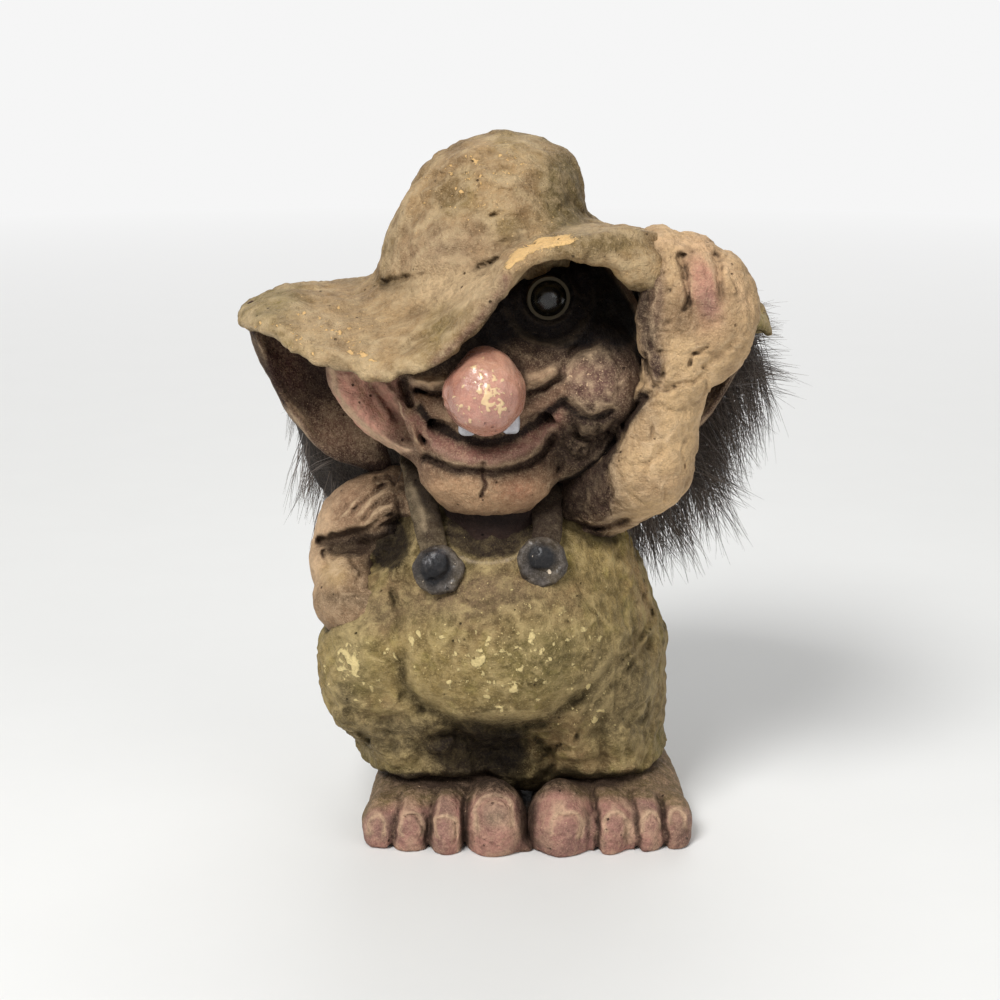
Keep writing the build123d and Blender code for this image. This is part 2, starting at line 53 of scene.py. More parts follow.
# The photograph's camera, which also places folds and paint by the pixel where they are seen.
photo = {
    "focus": 2250.0, "pitch": math.radians(14.65), "eye": (-1.16, -497.0, 201.8), "middle": 500.0,
    # strokes sway and slip a few pixels, so that they look made by hand
    "sway": [(2.0, 2.6, 11), (1.1, 1.0, 12)], "slip": [(2.0, 2.6, 13), (1.1, 1.0, 14)],
}


def onPhoto(p):
    x, y, z = (p - np.array(photo["eye"])).T
    ahead = y * math.cos(photo["pitch"]) - z * math.sin(photo["pitch"])
    up = y * math.sin(photo["pitch"]) + z * math.cos(photo["pitch"])
    scale = photo["focus"] / ahead
    across = photo["middle"] + scale * x + lumpy(p, photo["sway"])
    down = photo["middle"] - scale * up + lumpy(p, photo["slip"])
    return np.stack([across, down], 1)


# Plain forms

def curve(points, perSpan=5):
    # a smooth line through the points, whatever each point holds
    points = np.array(points, float)
    ends = np.vstack([2 * points[0] - points[1], points, 2 * points[-1] - points[-2]])
    line = []
    for i in range(len(points) - 1):
        a, b, c, d = ends[i:i + 4]
        for t in np.arange(perSpan) / perSpan:
            line.append(0.5 * (2 * b + (c - a) * t + (2 * a - 5 * b + 4 * c - d) * t ** 2
                               + (3 * b - a - 3 * c + d) * t ** 3))
    return np.array(line + [points[-1]])


def turned(turn):
    # rotation matrix for turns about x, y and z in degrees
    cx, cy, cz = np.cos(np.radians(turn))
    sx, sy, sz = np.sin(np.radians(turn))
    aboutX = np.array([[1, 0, 0], [0, cx, -sx], [0, sx, cx]])
    aboutY = np.array([[cy, 0, sy], [0, 1, 0], [-sy, 0, cy]])
    aboutZ = np.array([[cz, -sz, 0], [sz, cz, 0], [0, 0, 1]])
    return aboutX @ aboutY @ aboutZ


def oval(parts, radii):
    # signed distance to an ellipse or ellipsoid, near enough close to its surface
    inner = np.sqrt(sum((part / radius) ** 2 for part, radius in zip(parts, radii)))
    slope = np.sqrt(sum((part / radius ** 2) ** 2 for part, radius in zip(parts, radii)))
    return inner * (inner - 1) / np.maximum(slope, 1e-6)


def ball(p, centre, size, turn=(0, 0, 0)):
    local = p - np.array(centre)
    if any(turn):
        local = local @ turned(turn)
    return oval(local.T, [side / 2 for side in size])


def within(p, low, high, exact):
    # exact distances near a box, and the plain distance to the box where detail can't matter
    gap = np.linalg.norm(np.maximum(np.maximum(low - p, p - high), 0), axis=1)
    near = gap < sculpt["care"]
    gap[~near] += 1
    gap[near] = exact(p[near])
    return gap


def tube(p, path, flat=None, ratio=1.0):
    # round or flattened limb through rows of x, y, z and half thickness
    line = curve(path)
    thick = line[:, 3].max() * max(ratio, 1)

    def exact(p):
        best = np.full(len(p), 1e3)
        for a, b in zip(line[:-1], line[1:]):
            along = b[:3] - a[:3]
            share = np.clip((p - a[:3]) @ along / (along @ along), 0, 1)
            away = p - a[:3] - share[:, None] * along
            half = a[3] + share * (b[3] - a[3])
            square = (away ** 2).sum(1)
            if flat is None:
                distance = np.sqrt(square) - half
            else:
                deep = away @ np.array(flat, float)
                distance = oval((np.sqrt(np.maximum(square - deep ** 2, 0)), deep), (half, half * ratio))
            best = np.minimum(best, distance)
        return best

    return within(p, line[:, :3].min(0) - thick, line[:, :3].max(0) + thick, exact)


def stack(p, base, size, rows, lean=0):
    # ovals one above another: rows of rise, shift aside, shift back, half width, half depth and lean share
    table = curve(rows, 8)
    width, depth, height = size
    x, y, z = (p - np.array(base)).T
    level = z.copy()
    for _ in range(2 if lean else 0):
        rise = level / height
        tilt = np.tan(np.radians(lean * np.interp(rise, table[:, 0], table[:, 5])))
        level = z - (x - width * np.interp(rise, table[:, 0], table[:, 1])) * tilt
    rise = level / height
    aside, back, half, deep, share = (np.interp(rise, table[:, 0], table[:, k]) for k in range(1, 6))
    flare = np.interp(rise, table[:, 0], np.gradient(table[:, 3] * width, table[:, 0] * height))
    across = (x - aside * width) / np.cos(np.radians(lean * share))
    side = oval((across, y - back * depth), (half * width, deep * depth))
    side = side / np.sqrt(1 + np.minimum(flare ** 2, 9))
    ends = np.maximum(table[0, 0] * height - level, level - table[-1, 0] * height)
    return -melt(-side, -ends, 2.0)


def melt(a, b, soft):
    # union with a soft valley between the two
    share = np.clip(0.5 + 0.5 * (b - a) / soft, 0, 1)
    return b + (a - b) * share - soft * share * (1 - share)


def carve(a, b, soft):
    return -melt(-a, b, soft)


def lumps(p, size, seed):
    # smooth random relief between about -1 and 1
    lattice = np.random.default_rng(seed).random(32 ** 3) * 2 - 1
    place = p / size + 100
    low = np.floor(place).astype(int)
    share = place - low
    x, y, z = (share * share * (3 - 2 * share)).T
    total = 0
    for dx, wx in ((0, 1 - x), (1, x)):
        row = ((low[:, 0] + dx) & 31) * 1024
        for dy, wy in ((0, wx * (1 - y)), (1, wx * y)):
            column = row + ((low[:, 1] + dy) & 31) * 32
            for dz, wz in ((0, 1 - z), (1, z)):
                total = total + wy * wz * lattice[column + ((low[:, 2] + dz) & 31)]
    return total


def creases(p, size, seed):
    # thin sharp valleys: 1 at the bottom of one and 0 between them
    return np.exp(-(lumps(p, size, seed) / 0.10) ** 2)


def stroke(seen, path, width):
    # soft line through pixels, 1 on the line
    line = curve(path, 4)
    mask = np.zeros(len(seen))
    reach = 2.8 * width
    near = ((seen > line.min(0) - reach) & (seen < line.max(0) + reach)).all(1)
    close = seen[near]
    best = np.full(len(close), 1e6)
    for a, b in zip(line[:-1], line[1:]):
        along = b - a
        share = np.clip((close - a) @ along / (along @ along), 0, 1)
        best = np.minimum(best, ((close - a - share[:, None] * along) ** 2).sum(1))
    mask[near] = np.exp(-best / width ** 2)
    return mask


def patch(seen, middle, size, turn=0):
    # soft oval round a pixel, 1 in the middle
    c, s = math.cos(math.radians(turn)), math.sin(math.radians(turn))
    u, v = (seen - np.array(middle)).T
    return np.exp(-((u * c + v * s) / size[0]) ** 2 - ((v * c - u * s) / size[1]) ** 2)


def front(p, limit, soft=4.0):
    # 1 on what lies nearer than limit, so that a projected stroke stays off the back
    return np.clip((limit - p[:, 1]) / soft, 0, 1)


# From a field to a mesh

def gridField(field, low, high, step):
    # cells of 4 and then 2 steps find the skin, and only the fine points near it are worked out; 0.87 of a
    # cell is half its diagonal, and nothing in a cell is farther from its middle
    low, high = np.array(low, float), np.array(high, float)
    cells = np.ceil((high - low) / (4 * step)).astype(int)
    axes = [low[k] + 4 * step * np.arange(cells[k]) + 2 * step for k in range(3)]
    middles = np.stack(np.meshgrid(*axes, indexing="ij"), -1).reshape(-1, 3)
    coarse = field(middles).reshape(cells)
    close = np.abs(coarse) < 4 * step * 0.87 + sculpt["relief"]
    half = coarse.repeat(2, 0).repeat(2, 1).repeat(2, 2)
    index = np.argwhere(close.repeat(2, 0).repeat(2, 1).repeat(2, 2))
    worked = field(low + 2 * step * index + step)
    half[tuple(index.T)] = worked
    close = np.zeros(half.shape, bool)
    close[tuple(index.T)] = np.abs(worked) < 2 * step * 0.87 + 0.3
    shape = 4 * cells + 1
    values = np.full(shape, 9.0)
    values[:-1, :-1, :-1] = np.where(half.repeat(2, 0).repeat(2, 1).repeat(2, 2) < 0, -9.0, 9.0)
    near = np.zeros(shape, bool)
    wide = close.repeat(2, 0).repeat(2, 1).repeat(2, 2)
    for shift in np.ndindex(2, 2, 2):
        near[tuple(slice(s, s + 4 * c) for s, c in zip(shift, cells))] |= wide
    values[near] = field(low + step * np.argwhere(near))
    return values, low


def netOver(values, low, step):
    # surface net: one point in each cell that the skin crosses, and a quad across each crossed edge
    inside = values < 0
    count = sum(inside[tuple(slice(c, c - 1 or None) for c in corner)].astype(np.int8)
                for corner in np.ndindex(2, 2, 2))
    crossed = (count > 0) & (count < 8)
    cells = np.argwhere(crossed)
    number = np.full(crossed.shape, -1)
    number[crossed] = np.arange(len(cells))
    total = np.zeros((len(cells), 3))
    hits = np.zeros(len(cells))
    for axis in range(3):
        unit = np.eye(3, dtype=int)[axis]
        for corner in np.ndindex(2, 2, 2):
            if corner[axis]:
                continue
            start = cells + corner
            a = values[tuple(start.T)]
            b = values[tuple((start + unit).T)]
            hit = (a < 0) != (b < 0)
            share = np.where(hit, a / np.where(hit, a - b, 1), 0)
            total += hit[:, None] * (np.array(corner) + share[:, None] * unit)
            hits += hit
    points = low + step * (cells + total / hits[:, None])
    faces = []
    for axis in range(3):
        u, v = np.eye(3, dtype=int)[(axis + 1) % 3], np.eye(3, dtype=int)[(axis + 2) % 3]
        upper = tuple(slice(1, None) if k == axis else slice(None) for k in range(3))
        lower = tuple(slice(None, -1) if k == axis else slice(None) for k in range(3))
        edges = np.argwhere(inside[lower] != inside[upper])
        keep = (edges[:, (axis + 1) % 3] > 0) & (edges[:, (axis + 2) % 3] > 0)
        keep &= (edges < np.array(crossed.shape)).all(1)
        edges = edges[keep]
        quad = np.stack([number[tuple((edges - shift).T)] for shift in (0 * u, u, u + v, v)], 1)
        outward = inside[tuple(edges.T)]
        quad = np.where(outward[:, None], quad, quad[:, ::-1])
        faces.append(quad)
    return points, np.vstack(faces)


def normals(points, faces):
    # each quad's normal, added up at its corners
    corners = points[faces]
    across = np.cross(corners[:, 2] - corners[:, 0], corners[:, 3] - corners[:, 1])
    total = np.stack([np.bincount(faces.ravel(), across[:, k].repeat(4), len(points)) for k in range(3)], 1)
    return total / np.maximum(np.linalg.norm(total, axis=1), 1e-9)[:, None]


def makeMesh(name, points, faces, marks=None):
    mesh = bpy.data.meshes.new(name)
    mesh.vertices.add(len(points))
    mesh.vertices.foreach_set("co", np.ascontiguousarray(points * sculpt["metre"], np.float32).ravel())
    mesh.loops.add(faces.size)
    mesh.loops.foreach_set("vertex_index", np.ascontiguousarray(faces, np.int32).ravel())
    mesh.polygons.add(len(faces))
    mesh.polygons.foreach_set("loop_start", np.arange(0, faces.size, faces.shape[1], dtype=np.int32))
    mesh.update(calc_edges=True)
    mesh.shade_smooth()
    for mark, value in (marks or {}).items():
        flat = value.ndim == 1
        layer = mesh.attributes.new(mark, "FLOAT" if flat else "FLOAT_COLOR", "POINT")
        if not flat:
            value = np.hstack([value, np.ones((len(value), 1))])
        layer.data.foreach_set("value" if flat else "color", np.ascontiguousarray(value, np.float32).ravel())
    piece = bpy.data.objects.new(name, mesh)
    bpy.context.scene.collection.objects.link(piece)
    return piece


def tone(red, green, blue):
    # a colour as written, 0 to 255, in the linear values that shading uses
    share = np.array([red, green, blue]) / 255
    return np.where(share <= 0.04045, share / 12.92, ((share + 0.055) / 1.055) ** 2.4)


def over(base, colour, mask):
    # paint over the colours so far, as far as the mask says
    mask = np.clip(mask, 0, 1)[:, None]
    return base * (1 - mask) + np.array(colour) * mask


def spots(seen, places, near):
    # chips of paint: rows of a pixel, its half width and half height, and a turn
    mask = sum(patch(seen, (u, v), (wide, high), turn) for u, v, wide, high, turn in places)
    return np.clip(mask, 0, 1) * near


def lumpy(p, rows):
    # lumps of several sizes: rows of height and size in mm, and a seed
    return sum(height * lumps(p, size, seed) for height, size, seed in rows)


def lined(seen, rows, near):
    # grooves or ridges: rows of a line of pixels, height in mm and half width in pixels
    return near * sum(height * stroke(seen, path, width) for path, height, width in rows)


def swelled(seen, rows, near):
    # swells: rows of a pixel, half sizes in pixels and height in mm
    return near * sum(height * patch(seen, middle, size) for middle, size, height in rows)


def worn(seen, rows):
    # how far the paint is rubbed off: rows of strength, a pixel and half sizes
    return sum(strength * patch(seen, middle, size) for strength, middle, size in rows)


def plain(p, colour):
    return np.tile(tone(*colour), (len(p), 1))


def mottled(coat, p, rows, mask=1):
    # random blotches: rows of colour, strength, size in mm, seed, contrast and share
    for colour, strength, size, seed, contrast, share in rows:
        blotch = np.clip(lumps(p, size, seed) * contrast + share, 0, 1)
        coat = over(coat, tone(*colour), strength * mask * blotch)
    return coat


def brushed(coat, seen, rows, near):
    # in the order of painting, rows of colour and strength with a pixel, half sizes and perhaps a turn,
    # or with a line of pixels and its half width
    for colour, strength, place, size, *turn in rows:
        mask = stroke(seen, place, size) if isinstance(place, list) else patch(seen, place, size, *turn)
        coat = over(coat, tone(*colour), near * np.clip(strength * mask, 0, 1))
    return coat


def coated(p, seen, look, near):
    return brushed(mottled(plain(p, look["paint"]), p, look["mottle"]), seen, look["brush"], near)


def scattered(seed, count, middle, spread, small, large):
    # places for small random chips
    chance = np.random.default_rng(seed)
    place = chance.normal(0, 1, (count, 2)) * spread + middle
    size = chance.uniform(small, large, (count, 2))
    return [(*place[k], *size[k], chance.uniform(0, 180)) for k in range(count)]


def sculptPiece(order):
    # the numbers of one piece: its mesh and what the shader needs at each point
    step = order["step"] * sculpt["step"]
    points, faces = netOver(*gridField(order["field"], order["low"], order["high"], step), step)
    normal = normals(points, faces)
    # how hollow each point lies in its own relief, and how near the figure stands in front of it
    fine, close, far = sculpt["feelers"]
    tight = 1 - np.minimum(order["field"](points + fine * normal) / fine, 2)
    room = 1 - np.clip(figure(points + close * normal) / close, 0, 1)
    wide = 1 - np.clip(figure(points + far * normal) / far, 0, 1)
    paint, wear = order["paint"](points, normal, onPhoto(points))
    pale = np.clip(paint.mean(1) / 0.05, 0, 1)
    # painted shade: darker in each piece's own creases, partly the paint's wash, and where other parts of the
    # figure stand close in front of it
    wash = 0.45 * np.clip(tight, 0, 1) + 0.6 * room + 0.75 * wide ** 1.5
    marks = {
        "wash": np.clip(wash * order["washAndShadeStrength"], 0, 1),
        # lighter on exposed ridges: partly dry-brushed paint, partly a painted highlight
        "ridge": np.clip(-2.2 * tight, 0, 1) * (1 - room) * (1 - wide) * pale,
        "paint": paint,
        "wear": wear * pale,
        "pale": pale,
    }
    return points, faces, marks


def cast(name, field, low, high, paint, finish, nodes, slot, step=1.0, washAndShadeStrength=0.8):
    # one sculpted piece to be made
    return {"name": name, "field": field, "low": low, "high": high, "paint": paint, "finish": finish,
            "nodes": nodes, "slot": slot, "step": step, "washAndShadeStrength": washAndShadeStrength}


def castAll(orders):
    # the numbers are worked out side by side, and the meshes are made one after another
    with ThreadPoolExecutor(4) as pool:
        done = list(pool.map(sculptPiece, orders))
    for order, (points, faces, marks) in zip(orders, done):
        piece = makeMesh(order["name"], points, faces, marks)
        piece.data.materials.append(finishes[order["finish"]])
        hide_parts(*order["nodes"])
        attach(piece, "root")
        print("sculpted", order["name"], len(faces), "faces")


# Dungarees: trunk, paunch, the fist's pocket, a hollow at the neck and two short baggy legs

# the crease under the belly, in pixels
bellyCrease = [(402, 660), (407, 688), (424, 707), (450, 719), (475, 724), (502, 726), (534, 722), (560, 709),
               (580, 695)]
dungarees = {
    "base": (-2.0, -1.0, 19.0), "size": (78.0, 66.0, 63.0),
    "rows": [
        (0.0, 0.01, 0.0, 0.20, 0.22, 0), (0.07, 0.01, 0.0, 0.37, 0.38, 0),
        (0.18, 0.0, -0.015, 0.475, 0.485, 0), (0.36, -0.006, -0.03, 0.494, 0.53, 0),
        (0.55, 0.0, -0.03, 0.449, 0.48, 0), (0.74, 0.0, -0.045, 0.385, 0.41, 0),
        (0.90, -0.01, 0.015, 0.31, 0.29, 0), (1.0, -0.01, 0.03, 0.20, 0.20, 0),
    ],
    "paunch": (1.5, -16.0, 46.7), "paunchSize": (55.0, 50.0, 42.0), "pocket": (-30.1, -15.5, 40.4),
    "pocketSize": (23.0, 30.0, 38.0), "pocketTurn": (0, 10, 0), "collar": (-3.4, -31.5, 75.4),
    "collarSize": (28.0, 16.0, 18.0), "hipX": 18.5, "footX": 18.5, "stanceX": 5.0, "cuffZ": 12.0,
    "legSize": (39.5, 50.0, 27.0), "pinch": 3.0,
    "legRows": [
        (0.0, 0.85, 0.45, 0.44), (0.14, 0.75, 0.485, 0.475), (0.34, 0.55, 0.505, 0.51),
        (0.68, 0.2, 0.52, 0.53), (1.0, 0.0, 0.50, 0.50),
    ],
    "crotch": (5.0, -5.0, 15.9), "crotchSize": (24.0, 36.0, 26.0),
    # hanging folds round the figure, and the hem's ragged edge, its dip between the legs and its roll
    "hang": {"count": 7, "twist": 0.27, "depth": 0.6},
    "hem": {"ragged": 2.0, "dip": 9, "dipWidth": 5, "roll": 0.9, "rollUp": 2.2, "rollWidth": 1.6},
    # folds as pixels of the photograph, depth in mm and half width in pixels
    "folds": [
        (bellyCrease, 1.4, 7), ([(572, 701), (601, 678), (620, 652), (634, 632)], 0.8, 4.5),
        ([(650, 640), (632, 662), (614, 684), (598, 702)], 0.8, 3),
        ([(648, 624), (634, 646), (618, 662)], 0.6, 2.5), ([(396, 596), (402, 616), (396, 640)], 0.9, 6),
        ([(345, 594), (362, 592), (376, 588)], 0.5, 3),
        ([(327, 629), (342, 620), (362, 614), (386, 608)], 0.5, 3),
        ([(330, 576), (355, 571), (392, 556), (404, 548)], 0.9, 4),
        ([(408, 520), (412, 545), (410, 562)], 0.6, 3), ([(420, 528), (422, 548), (418, 566)], 0.5, 2.5),
        ([(402, 526), (394, 546), (380, 562)], 1.6, 9), ([(640, 590), (648, 606), (650, 622)], 0.8, 3),
        ([(355, 706), (370, 716), (398, 716), (422, 706), (440, 712), (456, 726)], 0.9, 5),
        ([(370, 738), (388, 745), (410, 738), (420, 750), (416, 768)], 0.8, 4),
        ([(430, 738), (446, 732), (462, 736), (470, 748)], 1.3, 4),
        ([(458, 728), (472, 742), (476, 765)], 1.1, 5), ([(536, 735), (548, 748), (560, 744)], 0.9, 3),
        ([(603, 716), (597, 734), (602, 750), (600, 774)], 1.2, 5),
        ([(560, 744), (574, 752), (588, 744)], 0.9, 3), ([(568, 716), (578, 728), (574, 742)], 0.8, 3),
        ([(632, 716), (622, 738), (628, 758)], 0.8, 4), ([(648, 706), (640, 722), (646, 740)], 0.6, 3),
        ([(340, 640), (362, 652), (384, 650)], 0.6, 5), ([(430, 600), (446, 592), (470, 600)], 0.5, 6),
        ([(340, 672), (360, 690), (388, 694)], 0.8, 5), ([(350, 712), (356, 728), (368, 738)], 0.7, 4),
        ([(518, 628), (536, 640), (545, 656)], 0.45, 3), ([(588, 630), (598, 622)], 0.6, 2.5),
        ([(510, 638), (524, 620), (528, 606)], 0.4, 3),
    ],
    # swells as a pixel, half sizes in pixels and height in mm
    "swells": [
        ((578, 752), (15, 18), 1.7), ((627, 746), (20, 18), 1.7), ((385, 752), (26, 18), 1.3),
        ((352, 650), (22, 34), 0.9), ((440, 752), (16, 12), 1.2), ((644, 690), (14, 22), 0.8),
        ((500, 650), (64, 52), 0.7), ((388, 566), (12, 12), 1.2), ((345, 690), (14, 22), 0.6),
        ((470, 716), (30, 8), 0.9), ((540, 712), (36, 8), 0.9), ((596, 672), (16, 14), 0.7),
    ],
    # chips of cream paint on the belly and the pocket, and smaller ones scattered there
    "chips": [
        (476, 664, 5, 4, 20), (482, 660, 3, 5, 0), (487, 696, 5, 3, 0), (514, 691, 5, 3, 0),
        (443, 638, 4, 2, 0), (479, 650, 3, 2, 0), (531, 639, 3, 6, 20), (598, 637, 3, 4, 30),
        (585, 631, 2, 6, 60), (419, 633, 3, 6, 0), (529, 606, 3, 2, 0), (560, 614, 4, 2, 0),
        (449, 681, 3, 3, 0), (355, 665, 3, 9, 0), (340, 668, 4, 2, 0), (347, 656, 7, 3, 60),
        (372, 688, 2, 4, 0), (541, 652, 2, 4, 20), (500, 652, 6, 1.6, -20), (594, 720, 3, 4, 0),
        (600, 712, 4, 2, 0), (520, 668, 4, 2, 0), (498, 708, 6, 2, 0), (411, 640, 2, 6, 0),
        *scattered(3, 60, (500, 665), (52, 30), 0.9, 2.4),
        *scattered(4, 26, (352, 665), (16, 22), 0.9, 2.4),
        *scattered(5, 20, (590, 660), (34, 40), 0.9, 2.0),
    ],
    "lumps": [(0.7, 9.0, 1), (0.56, 3.2, 2), (0.34, 1.5, 3)],
    "paint": (150, 128, 80), "behind": (82, 70, 44),
    "mottle": [
        ((112, 106, 50), 0.85, 11.0, 21, 1.6, 0), ((164, 132, 94), 0.8, 14.0, 22, 1.8, 0),
        ((104, 88, 44), 0.7, 4.0, 23, 2.0, -0.3), ((176, 158, 92), 0.5, 2.2, 24, 2.4, -0.5),
    ],
    # painted shade: the dark dabs between the legs, under the cuffs, above the bib at the neck, in the hollow
    # under the right arm and along the crease under the belly; a painted highlight runs along the bib's top
    # edge
    "brush": [
        ((128, 105, 80), 1.3, (480, 596), (86, 28)), ((120, 106, 64), 1.0, (540, 650), (60, 40)),
        ((114, 98, 68), 1.3, (622, 700), (52, 60)), ((126, 106, 78), 1.2, (365, 612), (44, 20)),
        ((124, 108, 78), 1.2, (390, 735), (60, 26)), ((70, 56, 38), 1.3, (440, 745), (30, 18)),
        ((176, 156, 110), 1.0, (350, 645), (20, 42)), ((36, 27, 22), 2.2, (478, 752), (44, 30)),
        ((24, 18, 15), 1.6, (505, 750), (24, 30)), ((44, 33, 27), 1.3, (420, 780), (90, 11)),
        ((52, 40, 30), 1.1, (600, 780), (60, 9)), ((40, 30, 26), 2.4, (490, 530), (46, 28)),
        ((96, 80, 52), 1.2, (414, 530), (9, 30)), ((26, 18, 13), 2.8, (390, 544), (17, 24)),
        ((92, 80, 56), 1.0, (345, 700), (14, 26)), ((50, 40, 24), 0.75, bellyCrease, 7),
        ((176, 158, 134), 0.9, [(446, 550), (456, 556), (472, 562), (487, 564), (504, 561), (520, 552),
         (529, 545)], 1.6),
    ],
    "worn": [(0.35, (505, 655), (105, 62)), (0.3, (352, 660), (26, 40)), (0.2, (600, 720), (50, 50))],
}


def legForm(p, side):
    d = dungarees
    pinch = d["pinch"] * (side > 0)
    hip = d["base"][0] + side * d["hipX"]
    foot = d["stanceX"] + side * d["footX"] - pinch
    width = d["legSize"][0] - pinch
    rows = [(rise, (hip - foot) * (1 - down) / width, 0, half, deep, 0)
            for rise, down, half, deep in d["legRows"]]
    return stack(p, (foot, d["base"][1], d["cuffZ"]), (width, *d["legSize"][1:]), rows)


def dungareeForm(p):
    d = dungarees
    trunk = stack(p, d["base"], d["size"], d["rows"])
    trunk = melt(trunk, ball(p, d["paunch"], d["paunchSize"]), 3.0)
    trunk = melt(trunk, ball(p, d["pocket"], d["pocketSize"], d["pocketTurn"]), 5.0)
    trunk = carve(trunk, ball(p, d["collar"], d["collarSize"]), 0.6)
    legs = melt(legForm(p, -1), legForm(p, 1), 1.0)
    return melt(melt(trunk, legs, 5.0), ball(p, d["crotch"], d["crotchSize"]), 3.0)


def dungareeField(p):
    d = dungarees
    seen = onPhoto(p)
    near = front(p, -4.0)
    shape = dungareeForm(p) + lumpy(p, d["lumps"]) + 0.45 * creases(p, 7.0, 6) * near
    shape += lined(seen, d["folds"], near) - swelled(seen, d["swells"], near)
    shape -= 0.25 * spots(seen, d["chips"], near)
    # soft hanging folds down the sides and the back
    hang = d["hang"]
    turn = np.arctan2(p[:, 1] + 1, p[:, 0] + 2)
    folds = np.sin(hang["count"] * turn + hang["twist"] * p[:, 2] + 2 * lumps(p, 16.0, 4))
    shape += hang["depth"] * folds * np.clip((p[:, 1] + 6) / 10, 0, 1)
    # the cuffs end in an uneven rolled edge, lower between the legs
    hem = d["hem"]
    low = d["cuffZ"] + hem["ragged"] * lumps(p * (1, 1, 0), 6.0, 5)
    low -= hem["dip"] * np.exp(-((p[:, 0] - d["stanceX"]) / hem["dipWidth"]) ** 2) * front(p, 2.0, 8.0)
    shape -= hem["roll"] * np.exp(-((p[:, 2] - low - hem["rollUp"]) / hem["rollWidth"]) ** 2)
    return -melt(-shape, p[:, 2] - low, 1.6)


def dungareePaint(p, normal, seen):
    d = dungarees
    near = front(p, 6.0, 8.0)
    coat = over(coated(p, seen, d, near), tone(*d["behind"]), 0.6 * (1 - near))
    return coat, np.clip(near * worn(seen, d["worn"]) + spots(seen, d["chips"], near), 0.05, 1)


# Feet

feet = {
    "inner": {-1: 4.6, 1: 5.4}, "width": 36.2, "length": 62.0, "height": 17.0, "frontY": -38.0,
    "splay": 7.0, "toeLength": 19.0, "toeHeight": 14.5, "web": (5.0, -13.0, 0.5),
    "webSize": (7.0, 42.0, 6.0),
    "rows": [
        (0.0, 0.22, 0.40), (0.10, 0.36, 0.72), (0.36, 0.43, 1.0), (0.62, 0.48, 0.86), (0.82, 0.46, 0.60),
        (0.90, 0.40, 0.42),
    ],
    "toes": [(0.19, 0.40, 1.0), (0.49, 0.25, 0.84), (0.71, 0.235, 0.76), (0.90, 0.20, 0.68)],
    # nails as arches of pixels
    "nails": [
        [(476, 830), (476, 810), (486, 800), (502, 799), (512, 808), (512, 828)],
        [(402, 838), (401, 824), (408, 816), (417, 818), (422, 828), (421, 838)],
        [(436, 838), (435, 824), (444, 819), (455, 823), (455, 838)],
        [(370, 836), (369, 826), (376, 819), (384, 825), (384, 836)],
        [(551, 836), (552, 822), (562, 815), (576, 817), (582, 826), (580, 838)],
        [(606, 834), (605, 822), (612, 814), (622, 816), (628, 826), (626, 836)],
        [(643, 834), (642, 822), (650, 815), (658, 820), (660, 832)],
        [(672, 826), (672, 815), (679, 811), (685, 820), (685, 830)],
    ],
    "dimples": [
        ([(402, 796), (396, 820), (392, 850)], 0.8, 3), ([(437, 792), (430, 820), (428, 856)], 0.8, 3),
        ([(472, 780), (465, 812), (464, 858)], 1.0, 3), ([(590, 780), (596, 815), (598, 858)], 0.9, 3),
        ([(630, 790), (636, 820), (638, 854)], 0.8, 3), ([(658, 794), (664, 820), (665, 850)], 0.8, 3),
    ],
    "lumps": [(0.25, 4.0, 31), (0.12, 1.3, 32)],
    "instep": (118, 100, 68), "toe": (178, 130, 116), "groove": (52, 34, 30),
    "nailRim": (226, 192, 158), "nail": (158, 116, 106),
    "instepMottle": [((84, 68, 44), 0.7, 6.0, 36, 1.6, 0), ((140, 116, 86), 0.6, 3.0, 37, 1.8, 0)],
    "toeMottle": [((200, 166, 138), 0.7, 3.0, 34, 2.0, 0), ((132, 96, 90), 0.75, 5.0, 35, 1.8, 0)],
    "smallToe": [((140, 110, 94), 0.7, (682, 825), (16, 40))],
    # painted shade: the dark rows in the gap between the feet and under the cuffs
    "between": [
        ((128, 112, 92), 0.8, (494, 817), (14, 11)), ((36, 28, 23), 0.95, (526, 800), (9, 44)),
        ((54, 42, 32), 0.8, (500, 785), (46, 10)),
    ],
    "underCuffs": [((44, 34, 28), 1.0, (520, 780), (90, 12)), ((50, 40, 32), 0.7, (455, 786), (50, 9))],
    "webPaint": [((128, 96, 76), 1.0, (528, 856), (16, 10))],
}


def footForm(p, side):
    f = feet
    inner = f["inner"][side]
    middle = inner + side * f["width"] / 2
    lying = np.stack([p[:, 0], p[:, 2], -p[:, 1]], 1)
    rows = [(along, 0, 0.36 * high, half, 0.64 * high, 0) for along, half, high in f["rows"]]
    base = (middle, 0, -f["frontY"] - f["length"])
    shape = stack(lying, base, (f["width"], f["height"], f["length"]), rows)
    toes = np.full(len(p), 1e3)
    for place, width, size in f["toes"]:
        y = f["frontY"] + size * f["toeLength"] / 2 + f["splay"] * place ** 2
        high = size * f["toeHeight"]
        centre = (inner + side * place * f["width"], y, 0.3 * high)
        toes = melt(toes, ball(p, centre, (width * f["width"], size * f["toeLength"], 1.4 * high)), 0.8)
    shape = melt(shape, toes, 4.0)
    if side < 0:
        shape = melt(shape, ball(p, f["web"], f["webSize"]), 2.0)
    return -melt(-shape, p[:, 2], 0.6)


def footField(p, side):
    seen = onPhoto(p)
    near = front(p, -20.0)
    shape = footForm(p, side) + lumpy(p, feet["lumps"])
    for nail in feet["nails"]:
        shape += 0.5 * stroke(seen, nail, 1.7) * near
        shape -= 0.3 * stroke(seen, np.array(nail) - (0, 3.5), 2.6) * near
    return np.maximum(shape + lined(seen, feet["dimples"], near), -p[:, 2])


